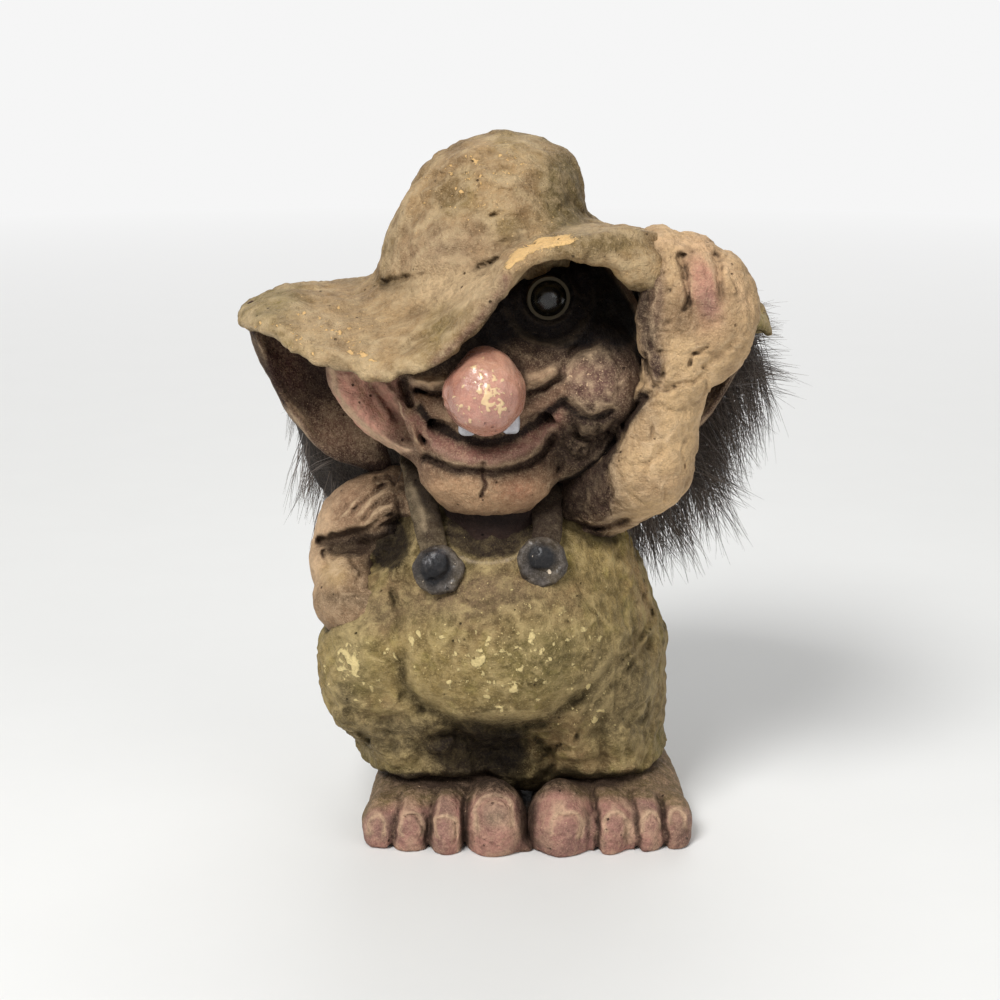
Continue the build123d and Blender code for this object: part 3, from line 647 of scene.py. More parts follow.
def footPaint(p, normal, seen):
    f = feet
    toes = np.clip((-p[:, 1] - 26.0 + 2.2 * lumps(p, 3.5, 33) - 0.55 * (p[:, 2] - 6)) / 3.5, 0, 1)
    coat = mottled(plain(p, f["instep"]), p, f["instepMottle"])
    coat = mottled(over(coat, tone(*f["toe"]), toes), p, f["toeMottle"], toes)
    coat = brushed(coat, seen, f["smallToe"], toes)
    for nail in f["nails"]:
        low, high = np.min(nail, 0), np.max(nail, 0)
        rim = 0.9 * stroke(seen, np.array(nail) - (0, 3.0), 2.4) * (1 - 0.3 * lumps(p, 1.5, 38))
        coat = over(coat, tone(*f["nailRim"]), rim)
        coat = over(coat, tone(*f["nail"]), 0.7 * patch(seen, (low + high) / 2, (high - low) / 2.2))
    coat = brushed(coat, seen, f["between"], 1)
    # painted shade in the clefts between the toes, stronger nearer the floor
    grooves = [(f["groove"], 0.85, path, width) for path, _, width in f["dimples"]]
    coat = brushed(coat, seen, grooves, np.clip((9 - p[:, 2]) / 4 + 0.6, 0, 1))
    coat = brushed(coat, seen, f["underCuffs"], 1)
    coat = brushed(coat, seen, f["webPaint"], np.clip(1.4 - p[:, 2] / 3, 0, 1))
    return coat, np.full(len(p), 0.06)


# Neck: its dark brown is painted shade under the head and chin

neck = {
    "base": (-2.0, -8.82, 57.5), "size": (30.0, 34.0, 34.0),
    "rows": [(0.0, 0.0, -0.02, 0.50, 0.47, 0), (0.35, 0.01, -0.03, 0.48, 0.46, 0),
             (0.62, 0.0, -0.03, 0.45, 0.44, 0), (1.0, -0.03, 0.10, 0.46, 0.44, 0)],
    "lumps": [(0.35, 6.0, 41), (0.1, 2.0, 42)], "paint": (50, 36, 32), "mottle": [],
    "brush": [((24, 17, 15), 0.9, (500, 520), (40, 12)), ((84, 66, 54), 0.6, (470, 550), (30, 10))],
}


def neckForm(p):
    return stack(p, neck["base"], neck["size"], neck["rows"])


def neckField(p):
    return neckForm(p) + lumpy(p, neck["lumps"])


def neckPaint(p, normal, seen):
    return coated(p, seen, neck, 1), np.full(len(p), 0.05)


# Head: skull, chin, cheeks, the flap before the right ear, lips, mouth and the eye's socket

head = {
    "base": (-3.5, 0.0, 76.5), "size": (70.0, 60.0, 62.0), "tilt": 16.0,
    "rows": [
        (0.0, 0.0, -0.33, 0.13, 0.10, 0), (0.09, 0.0, -0.267, 0.20, 0.215, 0),
        (0.22, 0.0, -0.13, 0.345, 0.385, 0), (0.35, 0.0, -0.067, 0.455, 0.465, 0),
        (0.48, 0.0, -0.033, 0.50, 0.50, 0.2), (0.60, 0.0, -0.017, 0.48, 0.50, 0.6),
        (0.71, -0.01, 0.0, 0.41, 0.44, 1.0), (0.80, -0.02, 0.03, 0.29, 0.32, 1.0),
    ],
    "chin": (-3.8, -24.0, 83.6), "chinSize": (29.0, 18.0, 16.5),
    "cheeks": [
        ((-18.0, -18.0, 99.5), (22.0, 22.0, 22.0), (0, 0, 16)),
        ((18.5, -23.4, 104.4), (27.0, 23.0, 23.0), (0, 0, -16)),
        ((17.5, -17.0, 90.5), (27.0, 19.0, 22.0), (0, 0, -16)),
    ],
    "flap": (-26.2, -15.0, 101.0), "flapSize": (20.5, 15.0, 31.0), "flapTurn": (0, -41, 0),
    "cup": (-25.2, -24.2, 101.8), "cupSize": (17.5, 9.5, 27.0),
    "upperLip": [
        (-19.5, -20.5, 101.5, 2.0), (-14.0, -27.5, 99.6, 2.6), (-5.0, -31.5, 99.0, 3.0),
        (6.0, -28.5, 101.0, 2.6), (12.8, -21.0, 104.0, 2.0),
    ],
    "lip": [
        (-20.0, -18.5, 97.0, 1.8), (-15.2, -25.5, 92.2, 2.8), (-9.6, -29.3, 89.6, 3.1),
        (-3.6, -30.6, 88.9, 3.2), (2.6, -29.3, 90.2, 3.0), (8.2, -25.5, 93.2, 2.6),
        (13.0, -18.5, 98.3, 1.6),
    ],
    "mouth": [
        (-20.6, -20.5, 100.4, 0.8), (-15.0, -29.0, 96.4, 1.7), (-9.0, -33.0, 94.2, 2.0),
        (-3.4, -34.6, 93.6, 2.1), (3.0, -33.0, 94.8, 2.0), (8.4, -29.0, 97.3, 1.7),
        (14.2, -20.5, 101.4, 0.7),
    ],
    "eye": (9.1, -24.9, 122.6), "socket": (10.2, -31.2, 122.2), "socketSize": (27.0, 16.0, 20.0),
    "eyeTurn": 10.0,
    # ridges and grooves as pixels, height in mm (below zero is a groove), half width in pixels
    "ridges": [
        ([(416, 379), (430, 382), (448, 381)], 1.9, 5), ([(526, 381), (540, 376), (554, 371)], 2.0, 6),
        ([(416, 391), (432, 393), (448, 394)], -1.5, 3.5),
        ([(527, 393), (545, 387), (563, 378)], -1.3, 3.5),
        ([(425, 457), (451, 468), (486, 473), (516, 468), (540, 455), (554, 434)], -1.3, 4),
        ([(484, 464), (482, 474), (485, 484), (481, 495)], -1.2, 2.0),
        ([(420, 448), (432, 468), (444, 484)], -0.6, 4), ([(374, 384), (386, 402), (398, 420)], -1.0, 4),
        ([(356, 378), (368, 396), (380, 412)], -0.6, 4),
        ([(402, 384), (410, 404), (416, 426), (424, 442)], -1.0, 4),
        ([(411, 412), (418, 440), (430, 466)], 1.1, 4), ([(340, 380), (352, 392), (356, 408)], -0.4, 3),
        ([(386, 384), (400, 402), (404, 416)], 0.6, 3), ([(563, 372), (572, 352), (596, 344)], -0.9, 4),
        ([(566, 404), (588, 418), (612, 410)], -1.3, 4),
        ([(640, 350), (646, 374), (644, 400), (624, 430), (604, 456), (580, 476), (556, 488)], -1.2, 4),
        ([(572, 432), (590, 440), (612, 430)], -0.9, 3), ([(560, 446), (572, 458), (592, 456)], -1.0, 3),
        ([(572, 416), (578, 436), (570, 452)], -0.8, 2.5),
        ([(596, 424), (600, 440), (592, 452)], -0.8, 2.5), ([(548, 440), (558, 452), (560, 470)], -0.9, 3),
        ([(612, 350), (622, 372), (618, 396)], -0.6, 3), ([(508, 345), (520, 352), (534, 350)], -0.5, 4),
    ],
    "lids": [(5.9, 0.7, 0.6), (8.0, -0.6, 0.7), (10.0, 0.45, 0.7), (11.8, -0.4, 0.8)],
    "lumps": [(0.35, 5.0, 51), (0.24, 2.0, 52), (0.11, 1.0, 53)],
    "jaw": ((588, 442), (34, 30)), "cheek": ((590, 384), (30, 28)), "flapHollow": ((372, 405), (26, 34)),
    "paint": (112, 86, 68), "mottle": [((84, 62, 50), 0.6, 4.0, 57, 1.8, 0)],
    "brush": [
        # shade between cheek and lip
        ((84, 62, 50), 1.3, (560, 408), (40, 22)),
        # wrinkled jaw
        ((50, 37, 30), 1.9, (590, 442), (44, 42)),
        # the round cheek, with a small painted highlight on it
        ((120, 88, 78), 1.4, (592, 378), (25, 22)),
        ((166, 126, 108), 0.7, (580, 368), (12, 8)),
        ((104, 80, 66), 1.0, (566, 352), (34, 14)),
        # chin
        ((176, 140, 106), 2.2, (486, 492), (54, 18)),
        ((168, 118, 92), 0.8, (518, 490), (20, 14)),
        ((150, 110, 90), 0.9, (538, 432), (16, 9), -38),
        # the flap's pink hollow
        ((220, 160, 140), 2.0, (364, 402), (32, 34), 25),
        ((104, 64, 58), 0.8, [(368, 382), (382, 402), (398, 424)], 4),
        ((160, 122, 106), 0.7, [(384, 378), (398, 398), (406, 420)], 4),
        ((212, 176, 146), 1.5, [(331, 370), (337, 396), (358, 420), (378, 437), (396, 448), (410, 448)],
         3.2),
        ((52, 34, 30), 1.3, [(404, 380), (409, 402), (416, 424), (424, 440)], 5),
        ((150, 116, 92), 1.1, [(410, 412), (418, 440), (430, 466)], 3.5),
        # upper lip
        ((134, 104, 82), 1.3, [(420, 399), (436, 411), (462, 425)], 6),
        ((130, 100, 80), 1.3, [(516, 418), (540, 404), (562, 390)], 6),
        ((136, 94, 82), 1.7, [(418, 421), (436, 440), (463, 451), (488, 455), (514, 449), (538, 435),
         (556, 415)], 8),
        ((156, 116, 102), 1.0, [(424, 436), (440, 450), (463, 459), (488, 462), (514, 456), (538, 443),
         (552, 428)], 3),
        ((84, 54, 48), 0.9, [(422, 416), (440, 432), (465, 441), (489, 444), (516, 438), (538, 424),
         (556, 408)], 3),
        # painted shade under the lower lip
        ((92, 66, 50), 0.9, (500, 474), (42, 9)),
        ((50, 34, 27), 1.1, [(425, 457), (451, 468), (486, 473), (516, 468), (540, 455), (554, 434)], 5.5),
        ((26, 14, 11), 1.9, [(419, 408), (432, 423), (452, 434), (472, 440), (494, 441), (518, 434),
         (540, 419), (557, 405), (565, 399)], 4.4),
        # painted shade in the grooves under the ridges beside the nose
        ((62, 43, 34), 0.9, [(416, 390), (434, 393), (450, 394)], 3.6),
        ((62, 43, 34), 0.8, [(527, 393), (546, 387), (564, 379)], 3.6),
        # shade under the brim
        ((42, 31, 26), 1.7, (440, 352), (66, 18), -12),
        ((50, 37, 30), 1.4, (400, 366), (44, 9), 4),
        # pale strips beside the nose: a painted highlight along their ridges
        ((188, 156, 122), 1.6, [(419, 379), (432, 381), (446, 381)], 4.2),
        ((186, 152, 120), 1.6, [(528, 380), (540, 376), (551, 371)], 5),
        ((78, 54, 42), 1.1, [(484, 464), (482, 474), (485, 484), (481, 495)], 2.2),
        # painted shade in the crease between the face and the raised arm
        ((22, 15, 13), 1.6, [(640, 350), (646, 374), (644, 400), (624, 430), (604, 456), (580, 476),
         (556, 488)], 5),
        ((30, 21, 18), 1.0, [(566, 406), (588, 418), (612, 411)], 3),
        # black round the eye
        ((14, 10, 11), 2.6, (560, 300), (68, 46), 10),
        ((14, 10, 11), 2.0, (506, 322), (34, 18), -34),
        ((14, 10, 10), 1.6, (620, 315), (24, 44)),
    ],
    "worn": [(0.5, (588, 378), (28, 26)), (0.4, (540, 350), (60, 10))],
}


def eyePlace(p):
    # distance from the eye's axis
    turn = math.radians(head["eyeTurn"])
    axis = np.array([math.sin(turn), -math.cos(turn), 0])
    away = p - np.array(head["eye"])
    return np.linalg.norm(away - (away @ axis)[:, None] * axis, axis=1)


def headForm(p):
    h = head
    shape = stack(p, h["base"], h["size"], h["rows"], h["tilt"])
    shape = melt(shape, ball(p, h["chin"], h["chinSize"]), 4.0)
    for centre, size, turn in h["cheeks"]:
        shape = melt(shape, ball(p, centre, size, turn), 4.0)
    shape = melt(shape, ball(p, h["flap"], h["flapSize"], h["flapTurn"]), 2.5)
    shape = carve(shape, ball(p, h["cup"], h["cupSize"], h["flapTurn"]), 1.2)
    shape = melt(shape, tube(p, h["upperLip"]), 1.5)
    shape = melt(shape, tube(p, h["lip"]), 0.8)
    shape = carve(shape, tube(p, h["mouth"]), 0.8)
    return carve(shape, ball(p, h["socket"], h["socketSize"]), 2.5)


def headField(p):
    h = head
    seen = onPhoto(p)
    near = front(p, -8.0)
    shape = headForm(p) + lumpy(p, h["lumps"]) - lined(seen, h["ridges"], near)
    rho = eyePlace(p)
    for radius, height, width in h["lids"]:
        shape -= height * np.exp(-((rho - radius) / width) ** 2) * near
    # wrinkled jaw beside the raised arm, a lumpy cheek and small wrinkles on the flap
    jaw = patch(seen, *h["jaw"]) * near
    shape += 1.1 * creases(p, 3.4, 54) * jaw
    shape -= 0.5 * lumps(p, 1.8, 55) * np.clip(patch(seen, *h["cheek"]) + jaw, 0, 1) * near
    return shape + 0.4 * creases(p * (1, 1, 0.5), 4.5, 56) * patch(seen, *h["flapHollow"]) * near


def headPaint(p, normal, seen):
    near = front(p, -6.0, 5.0)
    return coated(p, seen, head, near), np.clip(near * worn(seen, head["worn"]), 0.05, 1)


# Nose, teeth

nose = {
    "centre": (-4.2, -37.0, 105.0), "size": (17.8, 20.0, 18.4),
    "chips": [
        *scattered(6, 56, (491, 388), (11, 12), 0.8, 2.3),
        *scattered(7, 22, (500, 404), (10, 10), 0.8, 2.4), *scattered(8, 26, (470, 408), (11, 9), 0.8, 2.2),
        (480, 376, 2, 5, -30), (496, 381, 3, 2, 30),
    ],
    "lumps": [(0.45, 5.0, 61), (0.12, 1.6, 62)],
    "swells": [((453, 360), (12, 15), -0.9), ((522, 360), (10, 15), -0.9), ((520, 425), (12, 10), -0.4)],
    "paint": (194, 138, 116), "mottle": [((156, 106, 92), 0.6, 3.0, 65, 1.6, 0)],
    "ends": [((176, 120, 108), 0.8, (487, 416), (30, 18)), ((198, 150, 120), 0.8, (485, 362), (26, 12))],
    "brush": [((140, 84, 68), 0.7, (452, 392), (5, 26))], "worn": [(0.2, (488, 392), (26, 28))],
}


def noseForm(p):
    return ball(p, nose["centre"], nose["size"])


def noseField(p):
    seen = onPhoto(p)
    shape = noseForm(p) + lumpy(p, nose["lumps"]) - swelled(seen, nose["swells"], 1)
    return shape - 0.18 * spots(seen, nose["chips"], front(p, -34.0))


def nosePaint(p, normal, seen):
    coat = brushed(plain(p, nose["paint"]), seen, nose["ends"], 1)
    coat = brushed(mottled(coat, p, nose["mottle"]), seen, nose["brush"], 1)
    return coat, np.clip(spots(seen, nose["chips"], 1) + worn(seen, nose["worn"]), 0.05, 1)


teeth = {"left": (1.1, -33.4, 97.6), "right": (-8.0, -33.2, 97.2), "size": (3.8, 3.0, 5.0), "corner": 1.2,
         "paint": (190, 192, 200)}


def toothField(p, side):
    # a squarish block with soft corners
    half = np.array(teeth["size"]) / 2 - teeth["corner"]
    away = np.abs(p - np.array(teeth[side])) - half
    block = np.linalg.norm(np.maximum(away, 0), axis=1) + np.minimum(away.max(1), 0) - teeth["corner"]
    return block + 0.10 * lumps(p, 1.6, 64)


def toothPaint(p, normal, seen):
    return plain(p, teeth["paint"]), np.full(len(p), 0.0)


# Ears: pointed cups, open forward

ears = {
    "rootX": {-1: -29.2, 1: 30.2}, "rootZ": {-1: 82.0, 1: 84.0}, "lean": {-1: 52.0, 1: 56.0},
    "length": 44.0, "width": 18.0, "depth": 13.0, "rim": 1.7,
    "rows": [(0.0, 0.40, 0.0), (0.22, 0.84, 0.02), (0.48, 1.0, 0.0), (0.75, 0.80, -0.02), (1.0, 0.16, 0.0)],
    "paint": (134, 106, 86), "cup": (40, 25, 22), "lowCup": (112, 86, 70), "rimPaint": (186, 160, 138),
    "mottle": [((98, 72, 60), 0.7, 7.0, 75, 1.0, 0.3)],
    "lowEnds": [(1, (338, 432), (34, 22)), (1, (722, 430), (20, 26))],
    "blush": [((72, 44, 38), 0.8, (285, 360), (14, 30), -25)],
}


def earLeaf(p, side, width, forward):
    e = ears
    lean = math.radians(e["lean"][side])
    path = []
    for along, share, bow in e["rows"]:
        reach, shift = along * e["length"], bow * e["length"]
        x = e["rootX"][side] + side * (math.cos(lean) * reach + math.sin(lean) * shift)
        path.append((x, -forward, e["rootZ"][side] + math.sin(lean) * reach - math.cos(lean) * shift,
                     share * width / 2))
    return tube(p, path, (0, 1, 0), e["depth"] / e["width"])


def earForm(p, side):
    e = ears
    hollow = earLeaf(p, side, e["width"] - 2 * e["rim"], 0.42 * e["depth"])
    return carve(earLeaf(p, side, e["width"], 0), hollow, 0.8)


def earField(p, side):
    shape = earForm(p, side) + 0.6 * lumps(p, 7.0, 71 + side) + 0.12 * lumps(p, 2.0, 73)
    # lengthwise folds inside the cup
    folds = np.sin(1.1 * (p[:, 0] * 0.75 - side * p[:, 2] * 0.62) + 2 * lumps(p, 8.0, 74))
    return shape + 0.5 * folds * front(p, -1.0, 3.0)


def earPaint(p, normal, seen):
    e = ears
    facing = np.clip(-normal[:, 1] * 1.6 + 0.1, 0, 1)
    cup = facing * np.clip((p[:, 1] + 5.5) / 2.5, 0, 1)
    coat = over(mottled(plain(p, e["paint"]), p, e["mottle"]), tone(*e["cup"]), cup)
    low = worn(seen, e["lowEnds"])
    coat = over(coat, tone(*e["lowCup"]), cup * np.clip(low * 1.2, 0, 1))
    coat = brushed(coat, seen, e["blush"], cup)
    coat = over(coat, tone(*e["rimPaint"]), np.clip(1.4 - abs(p[:, 1] + 6.0) / 1.2, 0, 1) * 0.8)
    return coat, np.full(len(p), 0.05)


# Hat: a tilted crown that flows into a wide wavy brim

hat = {
    "crownAt": (-5.5, 3.96, 127.0), "crownSize": (49.0, 51.0, 27.5), "tilt": 16.0,
    "crown": [
        (-0.56, 0.02, -0.03, 0.50, 0.46, 0.6), (-0.22, 0.01, -0.01, 0.53, 0.52, 0.85),
        (0.0, 0.0, 0.0, 0.51, 0.50, 1.0), (0.33, 0.015, 0.01, 0.47, 0.46, 1.0),
        (0.58, 0.04, 0.03, 0.41, 0.40, 0.9), (0.80, 0.06, 0.05, 0.31, 0.31, 0.5),
        (0.94, 0.08, 0.06, 0.18, 0.18, 0.2), (1.0, 0.09, 0.06, 0.04, 0.04, 0.0),
    ],
    "brimSize": (119.0, 88.0), "wave": 20.0, "felt": 4.0,
    "brim": [
        (-0.498, 1.0, -0.62, -0.62, -0.62), (-0.42, 1.0, -0.57, -0.40, -0.64),
        (-0.335, 1.0, -0.80, -0.40, -0.64), (-0.24, 1.0, -0.90, -0.40, -0.60),
        (-0.15, 1.0, -0.80, -0.30, -0.50), (-0.067, 1.0, -0.42, -0.10, -0.40),
        (0.025, 1.0, 0.26, 0.12, -0.30), (0.11, 1.0, 0.46, 0.26, -0.20), (0.20, 0.97, 0.50, 0.30, -0.15),
        (0.29, 0.88, 0.36, 0.16, -0.22), (0.38, 0.84, -0.05, -0.20, -0.42),
        (0.45, 0.90, -0.50, -0.52, -0.60), (0.498, 1.0, -0.78, -0.78, -0.78),
    ],
    "roll": [
        (11.0, -41.0, 134.6, 2.0), (17.0, -39.6, 134.6, 2.6), (22.5, -38.0, 133.4, 3.2),
        (27.0, -36.4, 131.2, 4.2), (31.5, -33.5, 129.0, 4.6),
    ],
    "tip": [(50.0, 3.0, 118.5, 3.0), (55.0, 4.0, 114.6, 3.4), (56.6, 5.0, 112.4, 3.3)],
    # ridges and grooves, as on the head
    "ridges": [
        ([(384, 284), (402, 278), (424, 276)], -1.1, 3), ([(404, 262), (430, 240), (446, 220)], -0.5, 4),
        ([(478, 268), (488, 263), (497, 259)], -1.1, 2.0), ([(489, 217), (497, 214)], -1.3, 3),
        ([(390, 240), (404, 214), (422, 186)], 0.6, 7), ([(436, 170), (458, 158), (486, 148)], 0.6, 6),
        ([(462, 196), (452, 206), (456, 220)], -0.5, 3), ([(484, 176), (504, 186), (516, 184)], 0.7, 3),
        ([(452, 168), (446, 184), (436, 188)], 0.6, 3), ([(300, 300), (330, 312), (352, 316)], -0.4, 5),
        ([(250, 322), (300, 340), (330, 352)], 0.4, 5), ([(420, 330), (452, 312), (480, 296)], 0.5, 6),
        ([(470, 250), (510, 236), (560, 226)], 0.3, 6), ([(244, 322), (270, 334), (292, 352)], 0.7, 3),
    ],
    "chips": [
        (524, 252, 13, 7, -20), (546, 243, 13, 7, -6), (566, 239, 12, 5, -4), (511, 264, 5, 8, 30),
        (362, 354, 5, 3, 20), (372, 360, 5, 2, 0), (350, 352, 3, 1.5, 0),
        *scattered(9, 30, (480, 170), (36, 14), 0.8, 2.0),
        *scattered(10, 40, (310, 335), (50, 12), 0.8, 1.8),
    ],
    "lumps": [(0.5, 9.0, 81), (0.55, 3.6, 82), (0.32, 1.7, 83)],
    "crownTop": ((480, 180), (60, 36)), "overEye": ((560, 280), (110, 60)),
    "paint": (178, 146, 104), "behind": (110, 92, 60), "under": (26, 19, 16),
    "mottle": [
        ((124, 110, 58), 0.8, 12.0, 86, 1.8, 0), ((132, 104, 72), 0.7, 5.0, 89, 2.0, -0.1),
        ((206, 180, 138), 0.6, 3.0, 90, 2.2, -0.3),
    ],
    # painted shade on the crown's right side, and a painted highlight on the middle of the brim
    "brush": [
        ((112, 96, 60), 1.5, (566, 196), (24, 52)), ((132, 118, 74), 0.9, (262, 312), (44, 20)),
        ((182, 154, 116), 0.8, (320, 326), (60, 22)), ((160, 132, 106), 0.7, (440, 258), (70, 36)),
        ((208, 178, 138), 1.2, (456, 284), (52, 22)), ((138, 116, 78), 1.3, (610, 244), (36, 12)),
        ((120, 98, 66), 0.9, (392, 282), (24, 9)),
    ],
    "tipPaint": [((150, 134, 76), 1.5, (760, 326), (14, 16))],
    "edges": [
        ((200, 174, 136), 0.7, [(240, 326), (262, 330), (290, 352), (330, 368), (376, 374), (420, 368)], 3),
        ((126, 92, 78), 0.9, [(436, 362), (462, 338), (490, 306), (506, 280)], 6),
        ((198, 172, 134), 0.7, [(560, 232), (590, 228), (620, 232), (640, 238)], 4),
    ],
    "worn": [(1, (490, 180), (70, 50)), (1, (330, 330), (60, 30))],
}


def brimHeight(x, y):
    table = curve(hat["brim"], 6)
    share = np.clip(x / hat["brimSize"][0], table[0, 0], table[-1, 0])
    reach, ahead, middle, behind = (np.interp(share, table[:, 0], table[:, k]) for k in range(1, 5))
    half = hat["brimSize"][1] / 2 * np.sqrt(1 - (2 * share) ** 2)
    lip, rear = -half * reach, half
    y = np.clip(y, lip - 3, rear + 3)
    level = (ahead * y * (y - rear) / (lip * (lip - rear)) + middle * (y - lip) * (y - rear) / (lip * rear)
             + behind * y * (y - lip) / (rear * (rear - lip)))
    return hat["crownAt"][2] + hat["wave"] * level, reach


def hatForm(p):
    x, y, z = p.T
    width, depth = hat["brimSize"]
    level, reach = brimHeight(x, y)
    slope = np.hypot(brimHeight(x + 1, y)[0] - level, brimHeight(x, y + 1)[0] - level)
    thick = hat["felt"] * (1.0 - 0.55 * np.abs(x) / width) / 2
    flat = np.abs(z - level) / np.sqrt(1 + slope ** 2) - thick
    edge = oval((x, y), (width / 2, depth / 2 * np.where(y < 0, reach, 1)))
    edge, flat = edge + thick, flat + thick
    brim = np.hypot(np.maximum(edge, 0), np.maximum(flat, 0)) + np.minimum(np.maximum(edge, flat), 0) - thick
    crown = stack(p, hat["crownAt"], hat["crownSize"], hat["crown"], hat["tilt"])
    shape = melt(brim, crown, 7.0)
    shape = melt(shape, tube(p, hat["roll"]), 2.5)
    return melt(shape, tube(p, hat["tip"]), 2.0)


def hatField(p):
    seen = onPhoto(p)
    near = np.clip((p[:, 2] - 104) / 4, 0, 1) * np.clip((14 - p[:, 1]) / 6, 0, 1)
    shape = hatForm(p) + lumpy(p, hat["lumps"]) - lined(seen, hat["ridges"], near)
    shape -= 0.5 * creases(p, 5.0, 84) * np.clip(patch(seen, *hat["crownTop"]) * 1.3, 0, 1)
    return shape + 0.35 * creases(p, 8.0, 85) + 0.35 * spots(seen, hat["chips"], near)


def hatPaint(p, normal, seen):
    near = front(p, 10.0, 10.0)
    # painted shade on the brim's underside, deepest over the eye
    under = np.clip(-normal[:, 2] * 1.8, 0, 1) * np.clip((126 - p[:, 2]) / 4 + 0.6, 0, 1)
    coat = brushed(coated(p, seen, hat, near), seen, hat["tipPaint"], 1)
    coat = over(coat, tone(*hat["behind"]), 0.5 * (1 - near))
    coat = brushed(coat, seen, hat["edges"], near)
    deep = np.clip(0.25 + 1.5 * patch(seen, *hat["overEye"]), 0, 0.96)
    coat = over(coat, tone(*hat["under"]), under * deep)
    wear = near * 0.22 * (0.5 + worn(seen, hat["worn"]))
    return coat, np.clip(wear + spots(seen, hat["chips"], near), 0.05, 1)


# Arms: the right one hangs into the pocket, the left one lifts the brim

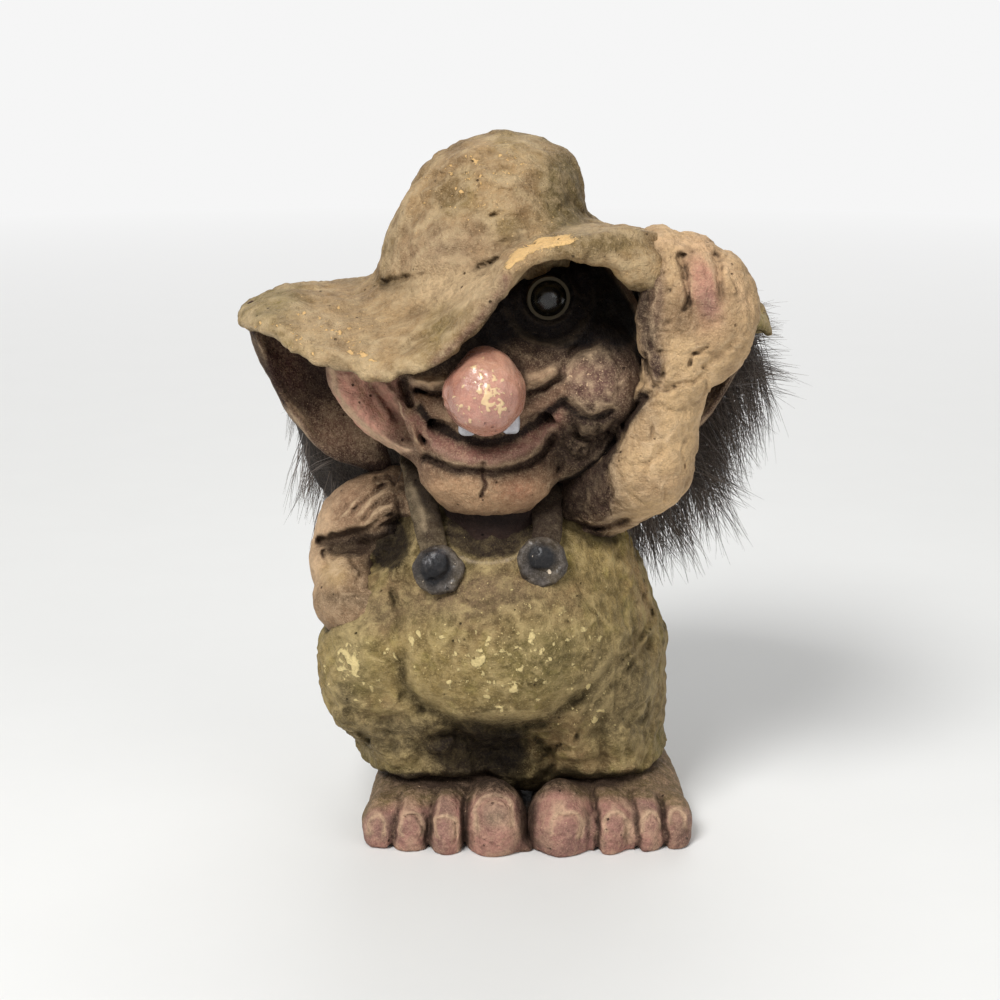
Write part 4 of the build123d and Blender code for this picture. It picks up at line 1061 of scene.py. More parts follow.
arms = {
    "right": [
        (-23.8, -1.0, 73.2, 7.6), (-31.6, -3.0, 68.1, 9.5), (-34.8, -6.3, 60.6, 9.3),
        (-32.4, -13.5, 53.0, 8.7), (-27.7, -20.8, 45.5, 7.6),
    ],
    "fist": (-33.0, -18.0, 53.0), "fistSize": (19.0, 17.0, 15.0), "shoulder": (-25.0, -8.0, 68.0),
    "shoulderSize": (20.0, 22.0, 20.0),
    "upper": [
        (15.2, -1.0, 64.4, 8.5), (17.5, -8.9, 73.2, 9.5), (24.9, -18.9, 80.2, 9.5),
        (31.0, -27.0, 86.0, 8.8),
    ],
    "lower": [
        (31.0, -27.0, 86.0, 8.6), (32.5, -28.4, 94.1, 8.6), (34.4, -29.8, 102.3, 8.0),
        (37.0, -31.0, 109.4, 6.8), (39.5, -32.2, 116.9, 6.4),
    ],
    "hand": (40.0, -32.5, 118.5), "handSize": (23.5, 14.0, 27.0), "handTurn": (0, 12, 0),
    "fingers": [
        (-0.24, 0.10, -0.34, 0.56), (-0.03, 0.14, -0.01, 0.50), (0.17, 0.05, 0.26, 0.36),
        (0.22, -0.24, 0.37, 0.14),
    ],
    "finger": 4.3, "fingerLength": 13.0,
    "thumb": [
        (36.5, -35.9, 107.2, 2.9), (32.0, -35.9, 113.1, 3.8), (30.8, -35.9, 120.7, 3.8),
        (31.5, -35.9, 126.6, 2.6),
    ],
    "rightLook": {
        "lumps": [(0.5, 6.0, 91), (0.32, 2.4, 92), (0.14, 1.1, 93)], "swells": [((343, 574), (16, 14), 1.2)],
        "folds": [
            ([(322, 541), (340, 536), (364, 531), (390, 524), (407, 521)], 1.8, 5),
            ([(336, 548), (362, 544), (388, 538), (402, 532)], 2.6, 9),
            ([(398, 520), (402, 536), (396, 550)], 2.0, 7), ([(384, 548), (380, 562), (376, 576)], 1.6, 4),
            ([(400, 500), (404, 514)], 1.2, 5), ([(384, 486), (370, 496), (352, 514)], 0.9, 2.5),
            ([(390, 500), (374, 508), (362, 522)], 1.0, 2.5),
            ([(376, 480), (390, 479), (396, 484)], 1.0, 2.5),
            ([(392, 514), (378, 520), (366, 528)], 0.9, 2.2),
            ([(356, 496), (344, 508), (336, 518)], 0.6, 2.5),
            ([(324, 552), (326, 562), (332, 570)], 0.9, 3), ([(352, 560), (360, 572), (358, 584)], 0.7, 3),
            ([(340, 592), (358, 590), (374, 586)], 0.7, 3),
        ],
        "paint": (158, 128, 98), "mottle": [((124, 98, 74), 0.7, 6.0, 94, 1.6, 0)],
        # a painted highlight down the arm's outer side, and painted shade in the hollow between the arm and
        # the body
        "brush": [
            ((208, 174, 138), 1.6, (320, 542), (12, 42), 6),
            ((150, 118, 92), 1.0, (350, 505), (26, 22), -40), ((94, 72, 54), 1.5, (392, 495), (20, 26), 0),
            ((40, 28, 19), 2.0, (372, 543), (38, 11), -8), ((26, 18, 13), 2.0, (400, 534), (14, 17), 0),
            ((48, 35, 24), 1.2, (334, 546), (12, 8), 0), ((182, 152, 110), 1.4, (334, 574), (14, 14), 0),
            ((104, 82, 60), 1.2, (366, 568), (14, 16), 0), ((112, 96, 66), 1.3, (392, 566), (12, 12), 0),
            ((120, 98, 74), 1.2, (350, 600), (40, 10), 0),
        ],
    },
    "leftLook": {
        "lumps": [(0.45, 6.0, 95), (0.32, 2.4, 96), (0.14, 1.1, 97)], "behind": (104, 84, 60),
        "folds": [
            ([(652, 288), (646, 316), (650, 345)], 0.9, 4),
            ([(645, 352), (648, 372), (655, 386), (662, 380), (665, 362), (660, 350)], 0.7, 2.2),
            ([(668, 322), (663, 325)], 0.7, 2.5), ([(696, 352), (690, 366)], 0.6, 2.5),
            ([(694, 352), (706, 349)], 0.8, 2), ([(682, 256), (684, 276), (688, 294), (686, 308)], 1.1, 4),
            ([(716, 256), (720, 276), (724, 298)], 1.0, 4), ([(662, 250), (664, 270), (670, 288)], 0.7, 4),
            ([(650, 395), (630, 412), (622, 436), (606, 452)], 1.1, 4),
            ([(664, 388), (690, 382), (704, 374)], 0.7, 3), ([(640, 466), (656, 458), (664, 446)], 0.6, 3),
            ([(652, 422), (654, 436), (648, 444)], 0.5, 2.5),
            ([(650, 398), (640, 400), (634, 410)], 0.8, 3), ([(576, 524), (600, 528), (626, 518)], 1.2, 3),
            ([(734, 340), (716, 358), (704, 366)], 0.7, 3), ([(606, 470), (612, 490), (606, 505)], 0.8, 4),
            ([(668, 410), (680, 420), (684, 440)], 0.4, 3), ([(700, 330), (720, 322)], 0.4, 2.5),
        ],
        "paint": (208, 174, 130), "mottle": [((160, 130, 96), 0.6, 6.0, 99, 1.6, 0)],
        # painted shade down the hand's inner edge and thumb, on the upper arm's underside and in the crease
        # against the jaw; a painted highlight along the knuckles
        "brush": [
            ((200, 148, 124), 1.3, (703, 284), (15, 34), -8),
            ((156, 112, 102), 0.9, (708, 304), (12, 18), -8),
            ((146, 118, 88), 1.0, (684, 316), (18, 18), 0), ((124, 98, 78), 1.3, (654, 300), (12, 46), 0),
            ((58, 44, 36), 1.4, (640, 290), (10, 44), 0), ((72, 56, 46), 1.3, (648, 340), (10, 26), 0),
            ((84, 64, 56), 1.6, (656, 367), (7, 15), 0), ((62, 45, 37), 1.9, (586, 496), (30, 46), -10),
            ((46, 33, 27), 1.6, (570, 505), (20, 30), 0), ((96, 74, 58), 1.0, (600, 524), (30, 8), 0),
            ((222, 184, 142), 0.8, [(650, 238), (690, 246), (716, 260), (736, 274), (746, 306)], 7),
            ((216, 182, 142), 0.9, [(643, 360), (650, 384), (657, 390), (666, 376)], 2.2),
            ((44, 31, 26), 1.4, [(644, 398), (618, 430), (604, 462), (592, 484)], 8),
        ],
    },
}


def rightArmForm(p):
    a = arms
    shape = melt(tube(p, a["right"]), ball(p, a["fist"], a["fistSize"]), 3.0)
    return melt(shape, ball(p, a["shoulder"], a["shoulderSize"]), 3.0)


def rightArmField(p):
    a = arms["rightLook"]
    seen = onPhoto(p)
    near = front(p, -2.0)
    shape = rightArmForm(p) + lumpy(p, a["lumps"])
    return shape + lined(seen, a["folds"], near) - swelled(seen, a["swells"], near)


def rightArmPaint(p, normal, seen):
    return coated(p, seen, arms["rightLook"], front(p, 0.0)), np.full(len(p), 0.05)


def leftArmForm(p):
    a = arms
    shape = melt(tube(p, a["upper"]), tube(p, a["lower"]), 3.0)
    palm = ball(p, a["hand"], a["handSize"], a["handTurn"])
    centre = np.array(a["hand"])
    for root, rootRise, tip, tipRise in a["fingers"]:
        start = centre + (root * a["handSize"][0], 0, rootRise * a["handSize"][2])
        end = centre + (tip * a["handSize"][0], 0.1 * a["handSize"][1], tipRise * a["handSize"][2])
        knuckle = start + 0.55 * (end - start) - (0, 0.30 * a["handSize"][1], 0)
        path = [start, knuckle, end, end + (0, 0.5 * a["fingerLength"], 0),
                end + (0, a["fingerLength"], -0.3 * a["fingerLength"])]
        halves = [a["finger"] * share for share in (0.8, 1.0, 1.0, 0.9, 0.5)]
        palm = melt(palm, tube(p, [(*place, half) for place, half in zip(path, halves)]), 4.5)
    palm = melt(palm, tube(p, a["thumb"]), 2.6)
    return melt(shape, palm, 4.0)


def leftArmField(p):
    a = arms["leftLook"]
    near = front(p, -8.0)
    shape = leftArmForm(p) + lumpy(p, a["lumps"]) + lined(onPhoto(p), a["folds"], near)
    return shape + 0.4 * creases(p, 4.0, 98) * near


def leftArmPaint(p, normal, seen):
    a = arms["leftLook"]
    near = front(p, -6.0)
    return over(coated(p, seen, a, near), tone(*a["behind"]), 0.5 * (1 - near)), np.full(len(p), 0.05)


# Braces and their buttons

braces = {
    "right": [
        (-17.6, 9.6, 80.1), (-20.3, -3.6, 82.9), (-19.2, -15.5, 80.2), (-17.0, -24.6, 73.4),
        (-15.0, -30.4, 66.5),
    ],
    "left": [
        (5.8, 5.6, 82.0), (8.4, -6.3, 81.6), (9.2, -17.5, 78.2), (9.0, -25.6, 72.4), (7.9, -30.6, 67.4),
    ],
    "half": 3.2, "flat": 0.45, "buttonAt": {"right": (-14.4, -31.0, 64.4), "left": (7.9, -31.0, 66.2)},
    "buttonWidth": 10.6, "dome": {"right": (-1.0, 1.2), "left": (0.2, 1.4)}, "buttonTilt": -16.0,
    "strapLumps": [(0.3, 3.0, 101), (0.14, 1.2, 102)], "buttonLumps": [(0.35, 2.6, 104), (0.16, 1.0, 105)],
    "shaded": (50, 38, 32),
    "strapLook": {
        "paint": (88, 76, 58), "mottle": [((60, 48, 36), 1.0, 4.0, 103, 1.0, 0.3)],
        "brush": [((150, 132, 106), 0.9, [(411, 484), (420, 507), (426, 528)], 3)],
    },
    "buttonLook": {
        "paint": (64, 56, 48), "mottle": [((96, 84, 66), 0.8, 2.6, 107, 1.6, 0.2)],
        "brush": [
            ((18, 18, 21), 2.2, (435, 567), (15, 17)), ((18, 18, 21), 2.2, (541, 558), (13, 13)),
            ((62, 62, 66), 0.8, [(426, 562), (434, 554), (442, 553)], 2.5),
        ],
        "chips": [(436, 569, 4, 7, 35), (430, 578, 3, 3, 0), (424, 582, 2, 2, 0), (545, 563, 3, 2, 0),
                  (548, 571, 2, 4, 0)],
    },
}


def strapForm(p, side):
    return tube(p, [(*place, braces["half"]) for place in braces[side]], (0, -0.64, 0.77), braces["flat"])


def strapField(p, side):
    return strapForm(p, side) + lumpy(p, braces["strapLumps"])


def strapPaint(p, normal, seen):
    coat = coated(p, seen, braces["strapLook"], 1)
    coat = over(coat, tone(*braces["shaded"]), np.clip((p[:, 0] + 2) / 4, 0, 1) * 0.85)
    return coat, np.full(len(p), 0.1)


def buttonForm(p, side):
    local = (p - np.array(braces["buttonAt"][side])) @ turned((braces["buttonTilt"], 0, 0))
    radius = braces["buttonWidth"] / 2
    x, y, z = local.T
    ring = np.hypot(np.hypot(x, z) - radius + 1.0, y + 0.5) - 1.1
    disc = oval((np.hypot(x, z), y + 0.1), (radius, 1.5))
    aside, up = braces["dome"][side]
    dome = oval((np.hypot(x - aside, z - up), y + 0.7), (radius - 1.7, 2.3))
    return melt(melt(ring, disc, 0.6), dome, 0.4)


def buttonField(p, side):
    return buttonForm(p, side) + lumpy(p, braces["buttonLumps"])


def buttonPaint(p, normal, seen):
    look = braces["buttonLook"]
    return coated(p, seen, look, 1), np.clip(spots(seen, look["chips"], 1) * 1.3, 0.05, 1)


def figure(p):
    # every plain form together: what stands in the way of light and dry paint
    forms = (dungareeForm, neckForm, headForm, noseForm, hatForm, rightArmForm, leftArmForm)
    pairs = [form(p, side) for form in (footForm, earForm) for side in (-1, 1)]
    return np.min([form(p) for form in forms] + pairs, axis=0)


# Fur wig: a dark pelt under thousands of fine tapered hairs

wig = {
    "base": (-3.5, 16.8, 53.4), "size": (106.0, 58.0, 66.0),
    "rows": [
        (0.0, 0.0, 0.20, 0.20, 0.16, 0), (0.16, 0.0, 0.14, 0.36, 0.34, 0),
        (0.40, 0.02, 0.06, 0.45, 0.46, 0), (0.64, 0.03, 0.04, 0.49, 0.50, 0),
        (0.84, 0.04, 0.02, 0.46, 0.46, 0), (1.0, 0.05, 0.0, 0.36, 0.36, 0),
    ],
    "lobes": [
        ((42.1, 16.8, 102.9), (34.0, 22.0, 26.0), (0, -10, 0)),
        ((33.0, 12.0, 80.0), (30.0, 20.0, 18.0), (0, 22, 0)),
    ],
    "box": ((-60, -18, 50), (64, 50, 124)), "step": 1.6,
    "locks": 900, "hairs": 11, "root": 0.075, "bends": 4, "length": (12, 21),
    # locks start above this height, and fewer of them in front, at the right side and low at the left
    "lowest": 58, "inFront": 0.55, "atRight": 0.03, "lowLeft": 0.25,
    # how far they stand out from the pelt as they fall: at the right, behind and elsewhere
    "rightSpread": 0.12, "rearSpread": 0.20, "spread": 0.60,
    # mm between the roots of a lock's hairs, and how far they stray, bow, gather, droop and taper
    "clump": 1.3, "stray": 0.16, "bow": 0.10, "gather": 0.35, "droop": 0.16, "taper": 0.8,
    # tufts that stand away: place of the root, its spread, direction, length and how many locks
    "tufts": [
        ((46.0, 12.0, 108.0), (4.0, 5.0, 4.0), (0.93, 0.0, 0.34), 19.0, 26),
        ((47.0, 11.0, 101.0), (4.0, 5.0, 5.0), (0.95, 0.0, 0.10), 19.0, 26),
        ((42.0, 8.0, 92.0), (4.0, 5.0, 5.0), (0.85, -0.05, -0.10), 16.0, 18),
        ((38.0, 4.0, 80.0), (5.0, 4.0, 5.0), (0.88, -0.05, -0.25), 18.0, 18),
        ((32.0, 2.0, 71.0), (6.0, 4.0, 3.0), (0.70, -0.1, -0.62), 15.0, 9),
        ((-42.0, 9.0, 96.0), (4.0, 4.0, 8.0), (-0.85, 0.0, 0.05), 13.0, 3),
        ((-38.0, 8.0, 84.0), (4.0, 4.0, 6.0), (-0.75, 0.0, -0.20), 13.0, 3),
    ],
}


def wigForm(p):
    shape = stack(p, wig["base"], wig["size"], wig["rows"])
    for centre, size, turn in wig["lobes"]:
        shape = melt(shape, ball(p, centre, size, turn), 4.0)
    return shape


def peltField(p):
    locks = 0.8 * lumps(p * (1, 1, 0.45), 5.0, 111) + 0.3 * lumps(p * (1, 1, 0.4), 2.0, 112)
    return wigForm(p) + 1.3 + locks


def growHairs(roots, ways, lengths, seed):
    # each lock's hairs start round its root and draw together towards its tip
    chance = np.random.default_rng(seed)
    hairs, bends = wig["hairs"], wig["bends"]
    count = len(roots) * hairs
    root = roots.repeat(hairs, 0) + chance.normal(0, wig["clump"], (count, 3))
    way = ways.repeat(hairs, 0) + chance.normal(0, wig["stray"], (count, 3))
    way /= np.linalg.norm(way, axis=1)[:, None]
    length = lengths.repeat(hairs) * chance.uniform(0.55, 1.1, count)
    tip = (roots + ways * lengths[:, None]).repeat(hairs, 0)
    bow = chance.normal(0, wig["bow"], (count, 3))
    along = np.linspace(0, 1, bends)
    lines = []
    for share in along:
        place = root + way * (length * share)[:, None] + bow * (length * share * (1 - share) * 2)[:, None]
        place += (tip - place) * (wig["gather"] * share ** 1.5)
        place[:, 2] -= length * wig["droop"] * share ** 2
        lines.append(place)
    lines = np.stack(lines, 1)
    run = lines[:, -1] - lines[:, 0]
    side = np.cross(run, (0.31, 0.42, 0.85))
    side /= np.linalg.norm(side, axis=1)[:, None]
    other = np.cross(run, side)
    other /= np.linalg.norm(other, axis=1)[:, None]
    thick = wig["root"] * chance.uniform(0.7, 1.5, count)
    taper = 1 - wig["taper"] * along ** 2
    # each hair has three sides, a third of a turn apart
    points = []
    for turn in (0, 2.094, 4.189):
        across = side * math.cos(turn) + other * math.sin(turn)
        points.append(lines + (across[:, None, :] * (thick[:, None] * taper)[:, :, None]))
    points = np.stack(points, 2).reshape(-1, 3)
    first = (np.arange(count) * bends * 3)[:, None, None]
    ring = (np.arange(bends - 1) * 3)[None, :, None]
    faces = []
    for a, b in ((0, 1), (1, 2), (2, 0)):
        sides = [first + ring + corner for corner in (a, b, b + 3, a + 3)]
        faces.append(np.stack(np.broadcast_arrays(*sides), -1))
    shade = chance.uniform(0, 1, count).repeat(bends * 3)
    reach = np.tile(along.repeat(3), count)
    return points, np.concatenate(faces).reshape(-1, 4), {"shade": shade, "reach": reach}


# Materials

class Value:
    # wraps a shader socket, so that sums and products of masks are written as expressions
    def __init__(self, finish, socket):
        self.finish = finish
        self.socket = socket

    def sum(self, operation, a, b):
        return self.finish.node("ShaderNodeMath", {"operation": operation}, a, b)

    def __add__(self, other):
        return self.sum("ADD", self, other)

    def __radd__(self, other):
        return self.sum("ADD", other, self)

    def __sub__(self, other):
        return self.sum("SUBTRACT", self, other)

    def __rsub__(self, other):
        return self.sum("SUBTRACT", other, self)

    def __mul__(self, other):
        return self.sum("MULTIPLY", self, other)

    def __rmul__(self, other):
        return self.sum("MULTIPLY", other, self)

    def above(self, edge, soft):
        # 0 below the edge and 1 above it
        low, high = edge - soft, edge + soft
        return self.finish.node("ShaderNodeMapRange", {"clamp": True}, self, low, high, 0.0, 1.0)


class Finish:
    # one material and its nodes
    def __init__(self, name):
        self.material = bpy.data.materials.new(name)
        self.material.use_nodes = True
        self.tree = self.material.node_tree
        self.shader = self.tree.nodes["Principled BSDF"]
        place = self.node("ShaderNodeTexCoord", {}, out="Object")
        scale = {"operation": "SCALE"}
        self.place = self.node("ShaderNodeVectorMath", scale, place, Scale=1 / sculpt["metre"], out="Vector")

    def node(self, kind, settings, *inputs, out=0, **named):
        made = self.tree.nodes.new(kind)
        for key, setting in settings.items():
            setattr(made, key, setting)
        for key, source in list(enumerate(inputs)) + list(named.items()):
            socket = made.inputs[key.replace("_", " ") if isinstance(key, str) else key]
            if isinstance(source, Value):
                self.tree.links.new(source.socket, socket)
            elif source is not None:
                socket.default_value = source
        return Value(self, made.outputs[out])

    def mark(self, name, out="Fac"):
        return self.node("ShaderNodeAttribute", {"attribute_name": name}, out=out)

    def noise(self, size, detail=3.0, rough=0.6):
        # size in millimetres
        return self.node("ShaderNodeTexNoise", {}, Vector=self.place, Scale=1 / size, Detail=detail,
                         Roughness=rough, out="Fac")

    def mix(self, mask, a, b):
        made = self.node("ShaderNodeMix", {"data_type": "RGBA"}, out=2)
        mixer = made.socket.node
        for socket, source in zip((mixer.inputs[0], mixer.inputs[6], mixer.inputs[7]), (mask, a, b)):
            if isinstance(source, Value):
                self.tree.links.new(source.socket, socket)
            else:
                socket.default_value = source if isinstance(source, float) else (*source, 1.0)
        return made

    def feed(self, name, source):
        if isinstance(source, Value):
            self.tree.links.new(source.socket, self.shader.inputs[name])
        else:
            self.shader.inputs[name].default_value = source

    def bump(self, height, depth, strength=1.0):
        # depth in millimetres
        self.feed("Normal", self.node("ShaderNodeBump", {}, Height=height, Distance=depth * sculpt["metre"],
                                      Strength=strength, out="Normal"))


def castFinish(name, shade, light, chip, rough=(0.5, 0.72), grain=0.55, specks=0.79, gloss=0.0, mottle=0.5):
    # hand-painted casting: mottled coat, a dark wash in the hollows that also stands for painted shade there
    # and under nearby parts, ridges lighter with dry-brushed paint and a painted highlight, chips and
    # pinholes
    f = Finish(name)
    paint, wash, ridge, wear = f.mark("paint", "Color"), f.mark("wash"), f.mark("ridge"), f.mark("wear")
    pale = f.mark("pale")
    broad, fine, tiny = f.noise(4.5), f.noise(1.1, 4.0, 0.65), f.noise(0.35, 2.0)
    coat = f.mix(broad.above(0.50, 0.14) * pale * mottle, paint, f.mix(0.5, paint, shade))
    coat = f.mix(fine.above(0.53, 0.10) * pale * (0.25 + mottle * 0.6), coat, f.mix(0.55, coat, shade))
    coat = f.mix(f.noise(1.8, 5.0, 0.7).above(0.56, 0.09) * pale * mottle, coat, f.mix(0.5, coat, light))
    coat = f.mix(tiny.above(0.58, 0.07) * pale * 0.5, coat, f.mix(0.45, coat, light))
    # lighter on exposed ridges: partly dry-brushed paint, partly a painted highlight
    coat = f.mix(ridge * fine.above(0.40, 0.16) * 0.8, coat, f.mix(0.65, coat, light))
    # painted shade: the wash darkens the hollows and the places under nearby parts
    shadedWash = (wash * (0.62 + broad * 0.7)).above(0.56, 0.38)
    coat = f.mix(shadedWash * pale * 0.85, coat, shade)
    flake = (wear * 0.9 + (f.noise(2.0, 5.0, 0.6) - 0.5) * 1.2).above(0.63, 0.07)
    coat = f.mix(flake * 0.85, coat, chip)
    speck = (f.noise(0.7, 1.5) + wear * 0.30).above(specks, 0.02)
    coat = f.mix(speck * 0.7, coat, chip)
    pits = f.node("ShaderNodeTexVoronoi", {}, Vector=f.place, Scale=1 / 3.1, out="Distance")
    hole = (1 - pits.above(0.085, 0.03)) * broad.above(0.52, 0.03)
    coat = f.mix(hole * 0.8, coat, shade)
    f.feed("Base Color", coat)
    f.feed("Roughness", rough[0] + (rough[1] - rough[0]) * fine)
    f.feed("Coat Weight", gloss)
    f.feed("Specular IOR Level", 0.12 + 0.5 * gloss)
    f.bump(fine * 0.9 + tiny * 0.35 + f.noise(2.3, 4.0) * 1.4 + flake * 0.4 - hole * 1.2, grain)
    return f.material


# shade, light and chip colours of each finish, and what differs from a matt casting; the shade colour also
# serves the painted shade in hollows, and the light colour the painted highlight on ridges
coats = {
    "skin": ("creamSkin", (44, 31, 25), (226, 196, 158), (214, 182, 146), {"grain": 0.75, "mottle": 0.32}),
    "trousers": ("oliveCloth", (50, 42, 26), (206, 182, 130), (226, 204, 146),
                 {"grain": 0.9, "mottle": 0.6}),
    "felt": ("tanFelt", (66, 52, 36), (214, 188, 148), (236, 194, 132), {"grain": 0.9, "mottle": 0.55}),
    "toes": ("pinkToes", (56, 43, 35), (218, 180, 150), (220, 184, 148), {"grain": 0.75, "mottle": 0.6}),
    "shadowSkin": ("shadedNeck", (22, 15, 13), (90, 72, 58), (100, 82, 66), {}),
    "nose": ("salmonNose", (116, 72, 62), (224, 186, 160), (224, 194, 146),
             {"rough": (0.20, 0.36), "grain": 0.2, "specks": 0.84, "gloss": 0.5, "mottle": 0.3}),
    "brace": ("brownBrace", (36, 28, 22), (156, 138, 110), (172, 152, 122), {}),
    "button": ("darkButton", (14, 13, 14), (150, 140, 132), (222, 204, 180),
               {"rough": (0.25, 0.5), "grain": 0.25, "specks": 0.78, "gloss": 0.12}),
    "enamel": ("whiteTooth", (120, 116, 116), (235, 235, 235), (235, 235, 235),
               {"rough": (0.2, 0.35), "grain": 0.05, "specks": 0.95, "gloss": 0.4}),
}
finishes = {}
for coatName, (title, *colours, look) in coats.items():
    finishes[coatName] = castFinish(title, *(tone(*colour) for colour in colours), **look)


def furFinish():
    f = Finish("darkFur")
    shade, reach = f.mark("shade"), f.mark("reach")
    coat = f.mix(shade.above(0.55, 0.35), tone(60, 52, 46), tone(122, 110, 100))
    coat = f.mix(shade.above(0.955, 0.02) * 0.75, coat, tone(158, 154, 152))
    coat = f.mix(reach.above(0.6, 0.5) * 0.4, coat, tone(116, 102, 92))
    f.feed("Base Color", coat)
    f.feed("Roughness", 0.42 + shade * 0.2)
    return f.material


def peltFinish():
    f = Finish("furPelt")
    times = {"operation": "MULTIPLY"}
    streak = f.node("ShaderNodeVectorMath", times, f.place, (1.0, 1.0, 0.16), out="Vector")
    hairs = f.node("ShaderNodeTexNoise", {}, Vector=streak, Scale=2.6, Detail=4.0, Roughness=0.7, out="Fac")
    f.feed("Base Color", f.mix(hairs.above(0.55, 0.16), tone(34, 29, 26), tone(88, 78, 70)))
    f.feed("Roughness", 0.55 + hairs * 0.3)
    f.feed("Specular IOR Level", 0.15)
    f.bump(hairs, 0.9)
    return f.material


# radii of the rings on the eye's disc in mm, each with its softness
eyeRings = {"centreGlint": (1.5, 0.15), "start": (2.2, 0.12), "end": (2.8, 0.22), "rim": (3.6, 0.2)}


def eyeDiscFinish():
    f = Finish("eyeDisc")
    less = {"operation": "SUBTRACT"}
    away = f.node("ShaderNodeVectorMath", less, f.place, head["eye"], out="Vector")
    flat = f.node("ShaderNodeVectorMath", {"operation": "MULTIPLY"}, away, (1.0, 0.0, 1.0), out="Vector")
    radius = f.node("ShaderNodeVectorMath", {"operation": "LENGTH"}, flat, out="Value")
    ring = radius.above(*eyeRings["start"]) * (1 - radius.above(*eyeRings["end"]))
    stain = f.noise(0.9)
    coat = f.mix(ring * 0.85, tone(24, 23, 22), f.mix(stain, tone(92, 80, 48), tone(54, 47, 30)))
    # the lighter centre of the disc is a painted reflection
    coat = f.mix(radius.above(*eyeRings["centreGlint"]), tone(60, 52, 42), coat)
    f.feed("Base Color", f.mix(radius.above(*eyeRings["rim"]), coat, tone(60, 52, 36)))
    f.feed("Roughness", 0.45 + stain * 0.15)
    f.feed("Specular IOR Level", 0.15)
    return f.material


def eyeGlassFinish():
    f = Finish("eyeGlass")
    haze = f.noise(1.4)
    f.feed("Base Color", f.mix(haze, tone(110, 108, 98), tone(150, 148, 140)))
    f.feed("Roughness", 0.16 + haze * 0.1)
    f.feed("Transmission Weight", 1.0)
    f.feed("IOR", 1.49)
    return f.material


print("materials made")

# Sculpted pieces

orders = [
    cast("hat", hatField, (-64, -50, 104), (64, 50, 158), hatPaint, "felt", ["hat_crown", "hat_brim"], "hat",
         1.17, 0.7),
    cast("dungarees", dungareeField, (-48, -46, 8), (46, 40, 86), dungareePaint, "trousers",
         ["dungarees", "right_trouser_leg", "left_trouser_leg", "foam_core"], "dungarees", 1.12),
    cast("head", headField, (-42, -42, 74), (36, 34, 136), headPaint, "skin", ["head"], "skin", 0.93, 0.55),
    cast("leftArm", leftArmField, (4, -46, 54), (58, 12, 140), leftArmPaint, "skin",
         ["left_upper_arm", "left_forearm", "left_hand"], "skin", 0.85, 0.75),
    cast("rightArm", rightArmField, (-48, -32, 36), (-12, 14, 84), rightArmPaint, "skin", ["right_arm"],
         "skin", 0.9, 0.8),
    cast("neck", neckField, (-20, -30, 55), (18, 14, 92), neckPaint, "shadowSkin", ["neck"], "neck"),
    cast("nose", noseField, (-16, -50, 93), (8, -24, 117), nosePaint, "nose", ["nose"], "nose", 0.8, 0.6),
]
# pieces that come in twos: field, paint, finish, slot, grid step, strength of the wash and painted shade, and
# the two boxes to sculpt in
twins = {
    "Foot": (footField, footPaint, "toes", "feet", 0.9, 0.7,
             {-1: ((-36, -42, -2), (12, 28, 20)), 1: ((2, -42, -2), (46, 28, 20))}),
    "Ear": (earField, earPaint, "skin", "skin", 0.9, 0.7,
            {-1: ((-66, -10, 76), (-24, 10, 122)), 1: ((22, -10, 76), (60, 10, 122))}),
    "Tooth": (toothField, toothPaint, "enamel", "teeth", 0.7, 0.3,
              {-1: ((-12, -37, 92), (4, -30, 103)), 1: ((-12, -37, 92), (4, -30, 103))}),
    "Strap": (strapField, strapPaint, "brace", "straps", 0.7, 0.8,
              {-1: ((-26, -36, 60), (-10, 14, 88)), 1: ((0, -36, 60), (17, 12, 88))}),
    "Button": (buttonField, buttonPaint, "button", "buttons", 0.5, 0.4,
               {-1: ((-21.4, -38, 57.4), (-7.4, -24, 71.4)), 1: ((0.9, -38, 59.2), (14.9, -24, 73.2))}),
}
for side, name in ((-1, "right"), (1, "left")):
    for kind, (field, paint, finish, slot, step, washAndShadeStrength, boxes) in twins.items():
        which = side if kind in ("Foot", "Ear") else name
        orders.append(cast(name + kind, partial(field, side=which), *boxes[side], paint, finish,
                           [name + "_" + kind.lower()], slot, step, washAndShadeStrength))
castAll(orders)
for node, finish in (("eye_disc", eyeDiscFinish()), ("eye_glass", eyeGlassFinish())):
    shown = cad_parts[node]
    shown.data.materials.clear()
    shown.data.materials.append(finish)
print("eye painted")


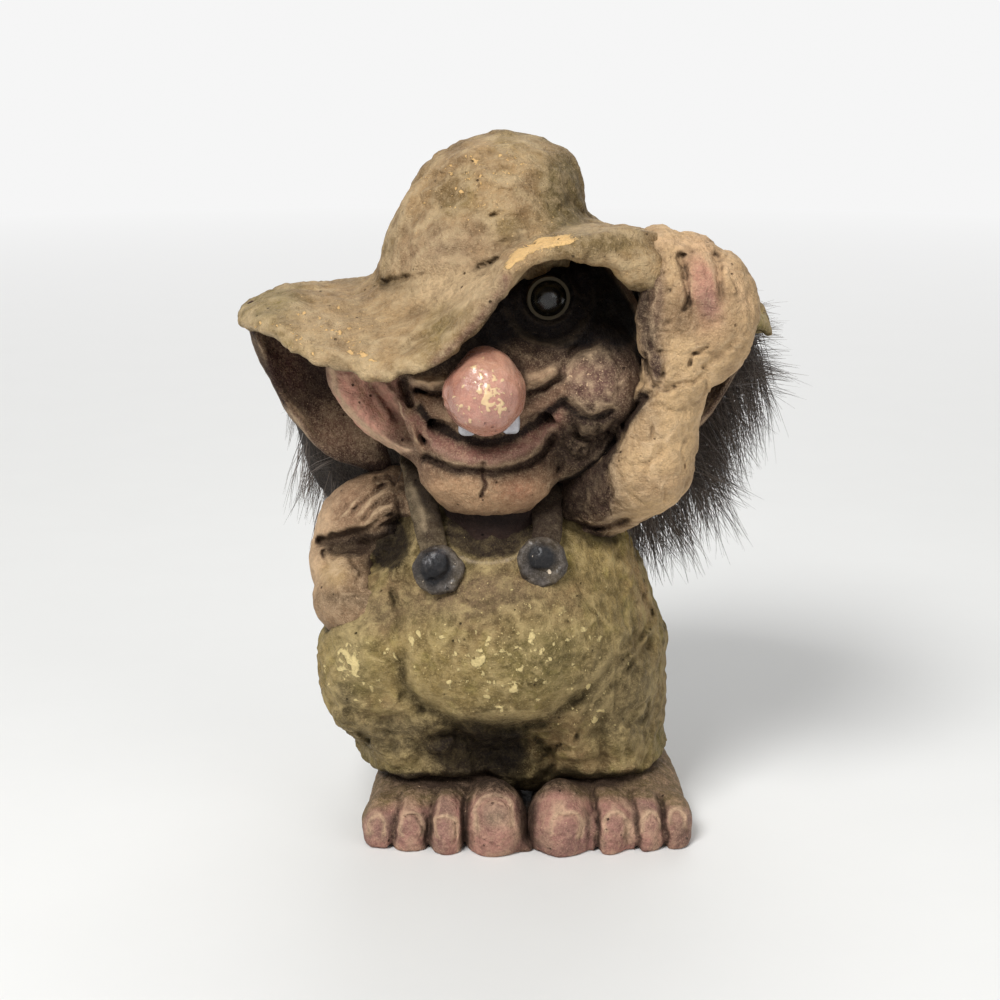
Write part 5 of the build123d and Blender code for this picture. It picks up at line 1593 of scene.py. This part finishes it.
def growWig():
    # the pelt stands for the wig's solid, and the hairs grow from it
    step = wig["step"] * sculpt["step"]
    points, faces = netOver(*gridField(peltField, *wig["box"], step), step)
    normal = normals(points, faces)
    pelt = makeMesh("wigPelt", points, faces)
    pelt.data.materials.append(peltFinish())
    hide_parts("wig")
    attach(pelt, "root")
    chance = np.random.default_rng(7)
    clear = figure(points + 1.5 * normal) > 1.0
    clear &= points[:, 2] > wig["lowest"]
    weight = np.where(clear, 1.0, 0.0) * np.where(points[:, 1] > 2, 1.0, wig["inFront"])
    weight *= np.where((points[:, 0] < -22) & (points[:, 1] < 26), wig["atRight"], 1.0)
    low = (points[:, 0] > 12) & (points[:, 2] < 74) & (points[:, 1] < 20)
    weight *= np.where(low, wig["lowLeft"], 1.0)
    picked = chance.choice(len(points), wig["locks"], p=weight / weight.sum(), replace=False)
    roots, outward = points[picked], normal[picked]
    spread = np.where(roots[:, 1] > 12, wig["rearSpread"], wig["spread"])
    spread = np.where(roots[:, 0] < -12, wig["rightSpread"], spread)[:, None]
    ways = outward * (1, 1, 0.3) * spread + (0, 0.03, -0.70) + chance.normal(0, 0.13, (len(picked), 3))
    ways /= np.linalg.norm(ways, axis=1)[:, None]
    sets = [("wigFur", roots, ways, chance.uniform(*wig["length"], len(picked)), 8)]
    tuftRoots, tuftWays, tuftLengths = [], [], []
    for place, scatter, way, length, count in wig["tufts"]:
        tuftRoots.append(np.array(place) + chance.normal(0, 0.5, (count, 3)) * scatter)
        way = np.array(way) + chance.normal(0, 0.16, (count, 3))
        tuftWays.append(way / np.linalg.norm(way, axis=1)[:, None])
        tuftLengths.append(length * chance.uniform(0.6, 1.05, count))
    sets.append(("wigTufts", np.vstack(tuftRoots), np.vstack(tuftWays), np.hstack(tuftLengths), 9))
    hairFinish = furFinish()
    for name, roots, ways, lengths, seed in sets:
        points, faces, marks = growHairs(roots, ways, lengths, seed)
        fur = makeMesh(name, points, faces, marks)
        fur.data.materials.append(hairFinish)
        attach(fur, "root")
        print("grew", name, len(faces), "faces")


growWig()

# Stage, light and camera

stage = {
    "floor": tone(232, 232, 230), "lens": 81.0, "room": 0.26, "backdrop": 0.92, "aim": (0, 0, 0.08),
    "rays": ("Is Camera Ray", "Is Glossy Ray", "Is Transmission Ray"),
    # the floor's side in metres, the size of its stains and where it fades, in mm
    "side": 6, "stain": 30.0, "fade": (700.0, 400.0),
    # place, size and power of each lamp
    "lamps": {
        "keyLight": ((-0.45, -0.80, 1.05), 0.5, 17.0), "fillLight": ((0.9, -0.8, 0.6), 0.9, 3.4),
        "backLight": ((0.1, 0.9, 0.9), 0.8, 4.0),
    },
}


class Room(Finish):
    # the world's nodes, made in the same way
    def __init__(self, name):
        self.world = bpy.data.worlds.new(name)
        self.world.use_nodes = True
        self.tree = self.world.node_tree


def paleRays(f):
    # the rays that meet the pale backdrop; the light on the figure stays at the room's own level
    camera, glossy, clear = (f.node("ShaderNodeLightPath", {}, out=kind) for kind in stage["rays"])
    return camera + glossy + clear


def plainStage():
    bpy.ops.mesh.primitive_plane_add(size=stage["side"])
    floor = bpy.context.object
    floor.name = "floor"
    f = Finish("paleFloor")
    f.feed("Base Color", f.mix(f.noise(stage["stain"]), stage["floor"], 0.97 * stage["floor"]))
    f.feed("Roughness", 0.55)
    # farther off, the floor fades to white
    away = f.node("ShaderNodeVectorMath", {"operation": "LENGTH"}, f.place, out="Value")
    far = away.above(*stage["fade"])
    glow = f.node("ShaderNodeEmission", {}, (1.0, 1.0, 1.0, 1.0), stage["backdrop"])
    shader = Value(f, f.shader.outputs[0])
    mixed = f.node("ShaderNodeMixShader", {}, paleRays(f) * far, shader, glow)
    f.tree.links.new(mixed.socket, f.tree.nodes["Material Output"].inputs["Surface"])
    floor.data.materials.append(f.material)
    room = Room("paleRoom")
    level = room.node("ShaderNodeMapRange", {}, paleRays(room), 0.0, 1.0, stage["room"], stage["backdrop"])
    light = room.tree.nodes["Background"]
    light.inputs["Color"].default_value = (1, 1, 1, 1)
    room.tree.links.new(level.socket, light.inputs["Strength"])
    bpy.context.scene.world = room.world


def hangLamps():
    for name, (place, size, power) in stage["lamps"].items():
        lamp = bpy.data.lights.new(name, "AREA")
        lamp.size = size
        lamp.energy = power
        shown = bpy.data.objects.new(name, lamp)
        shown.location = place
        aim = np.array(stage["aim"]) - np.array(place)
        tilt = math.atan2(np.hypot(aim[0], aim[1]), -aim[2])
        shown.rotation_euler = (tilt, 0, math.atan2(aim[0], -aim[1]) + math.pi)
        bpy.context.scene.collection.objects.link(shown)


def photoCamera():
    lens = bpy.data.cameras.new("camera")
    lens.lens = stage["lens"]
    shown = bpy.data.objects.new("camera", lens)
    shown.location = [side * sculpt["metre"] for side in photo["eye"]]
    shown.rotation_euler = (math.pi / 2 - photo["pitch"], 0, 0)
    bpy.context.scene.collection.objects.link(shown)
    bpy.context.scene.camera = shown


plainStage()
hangLamps()
photoCamera()
bpy.context.scene.view_settings.view_transform = "Standard"
print("stage set")
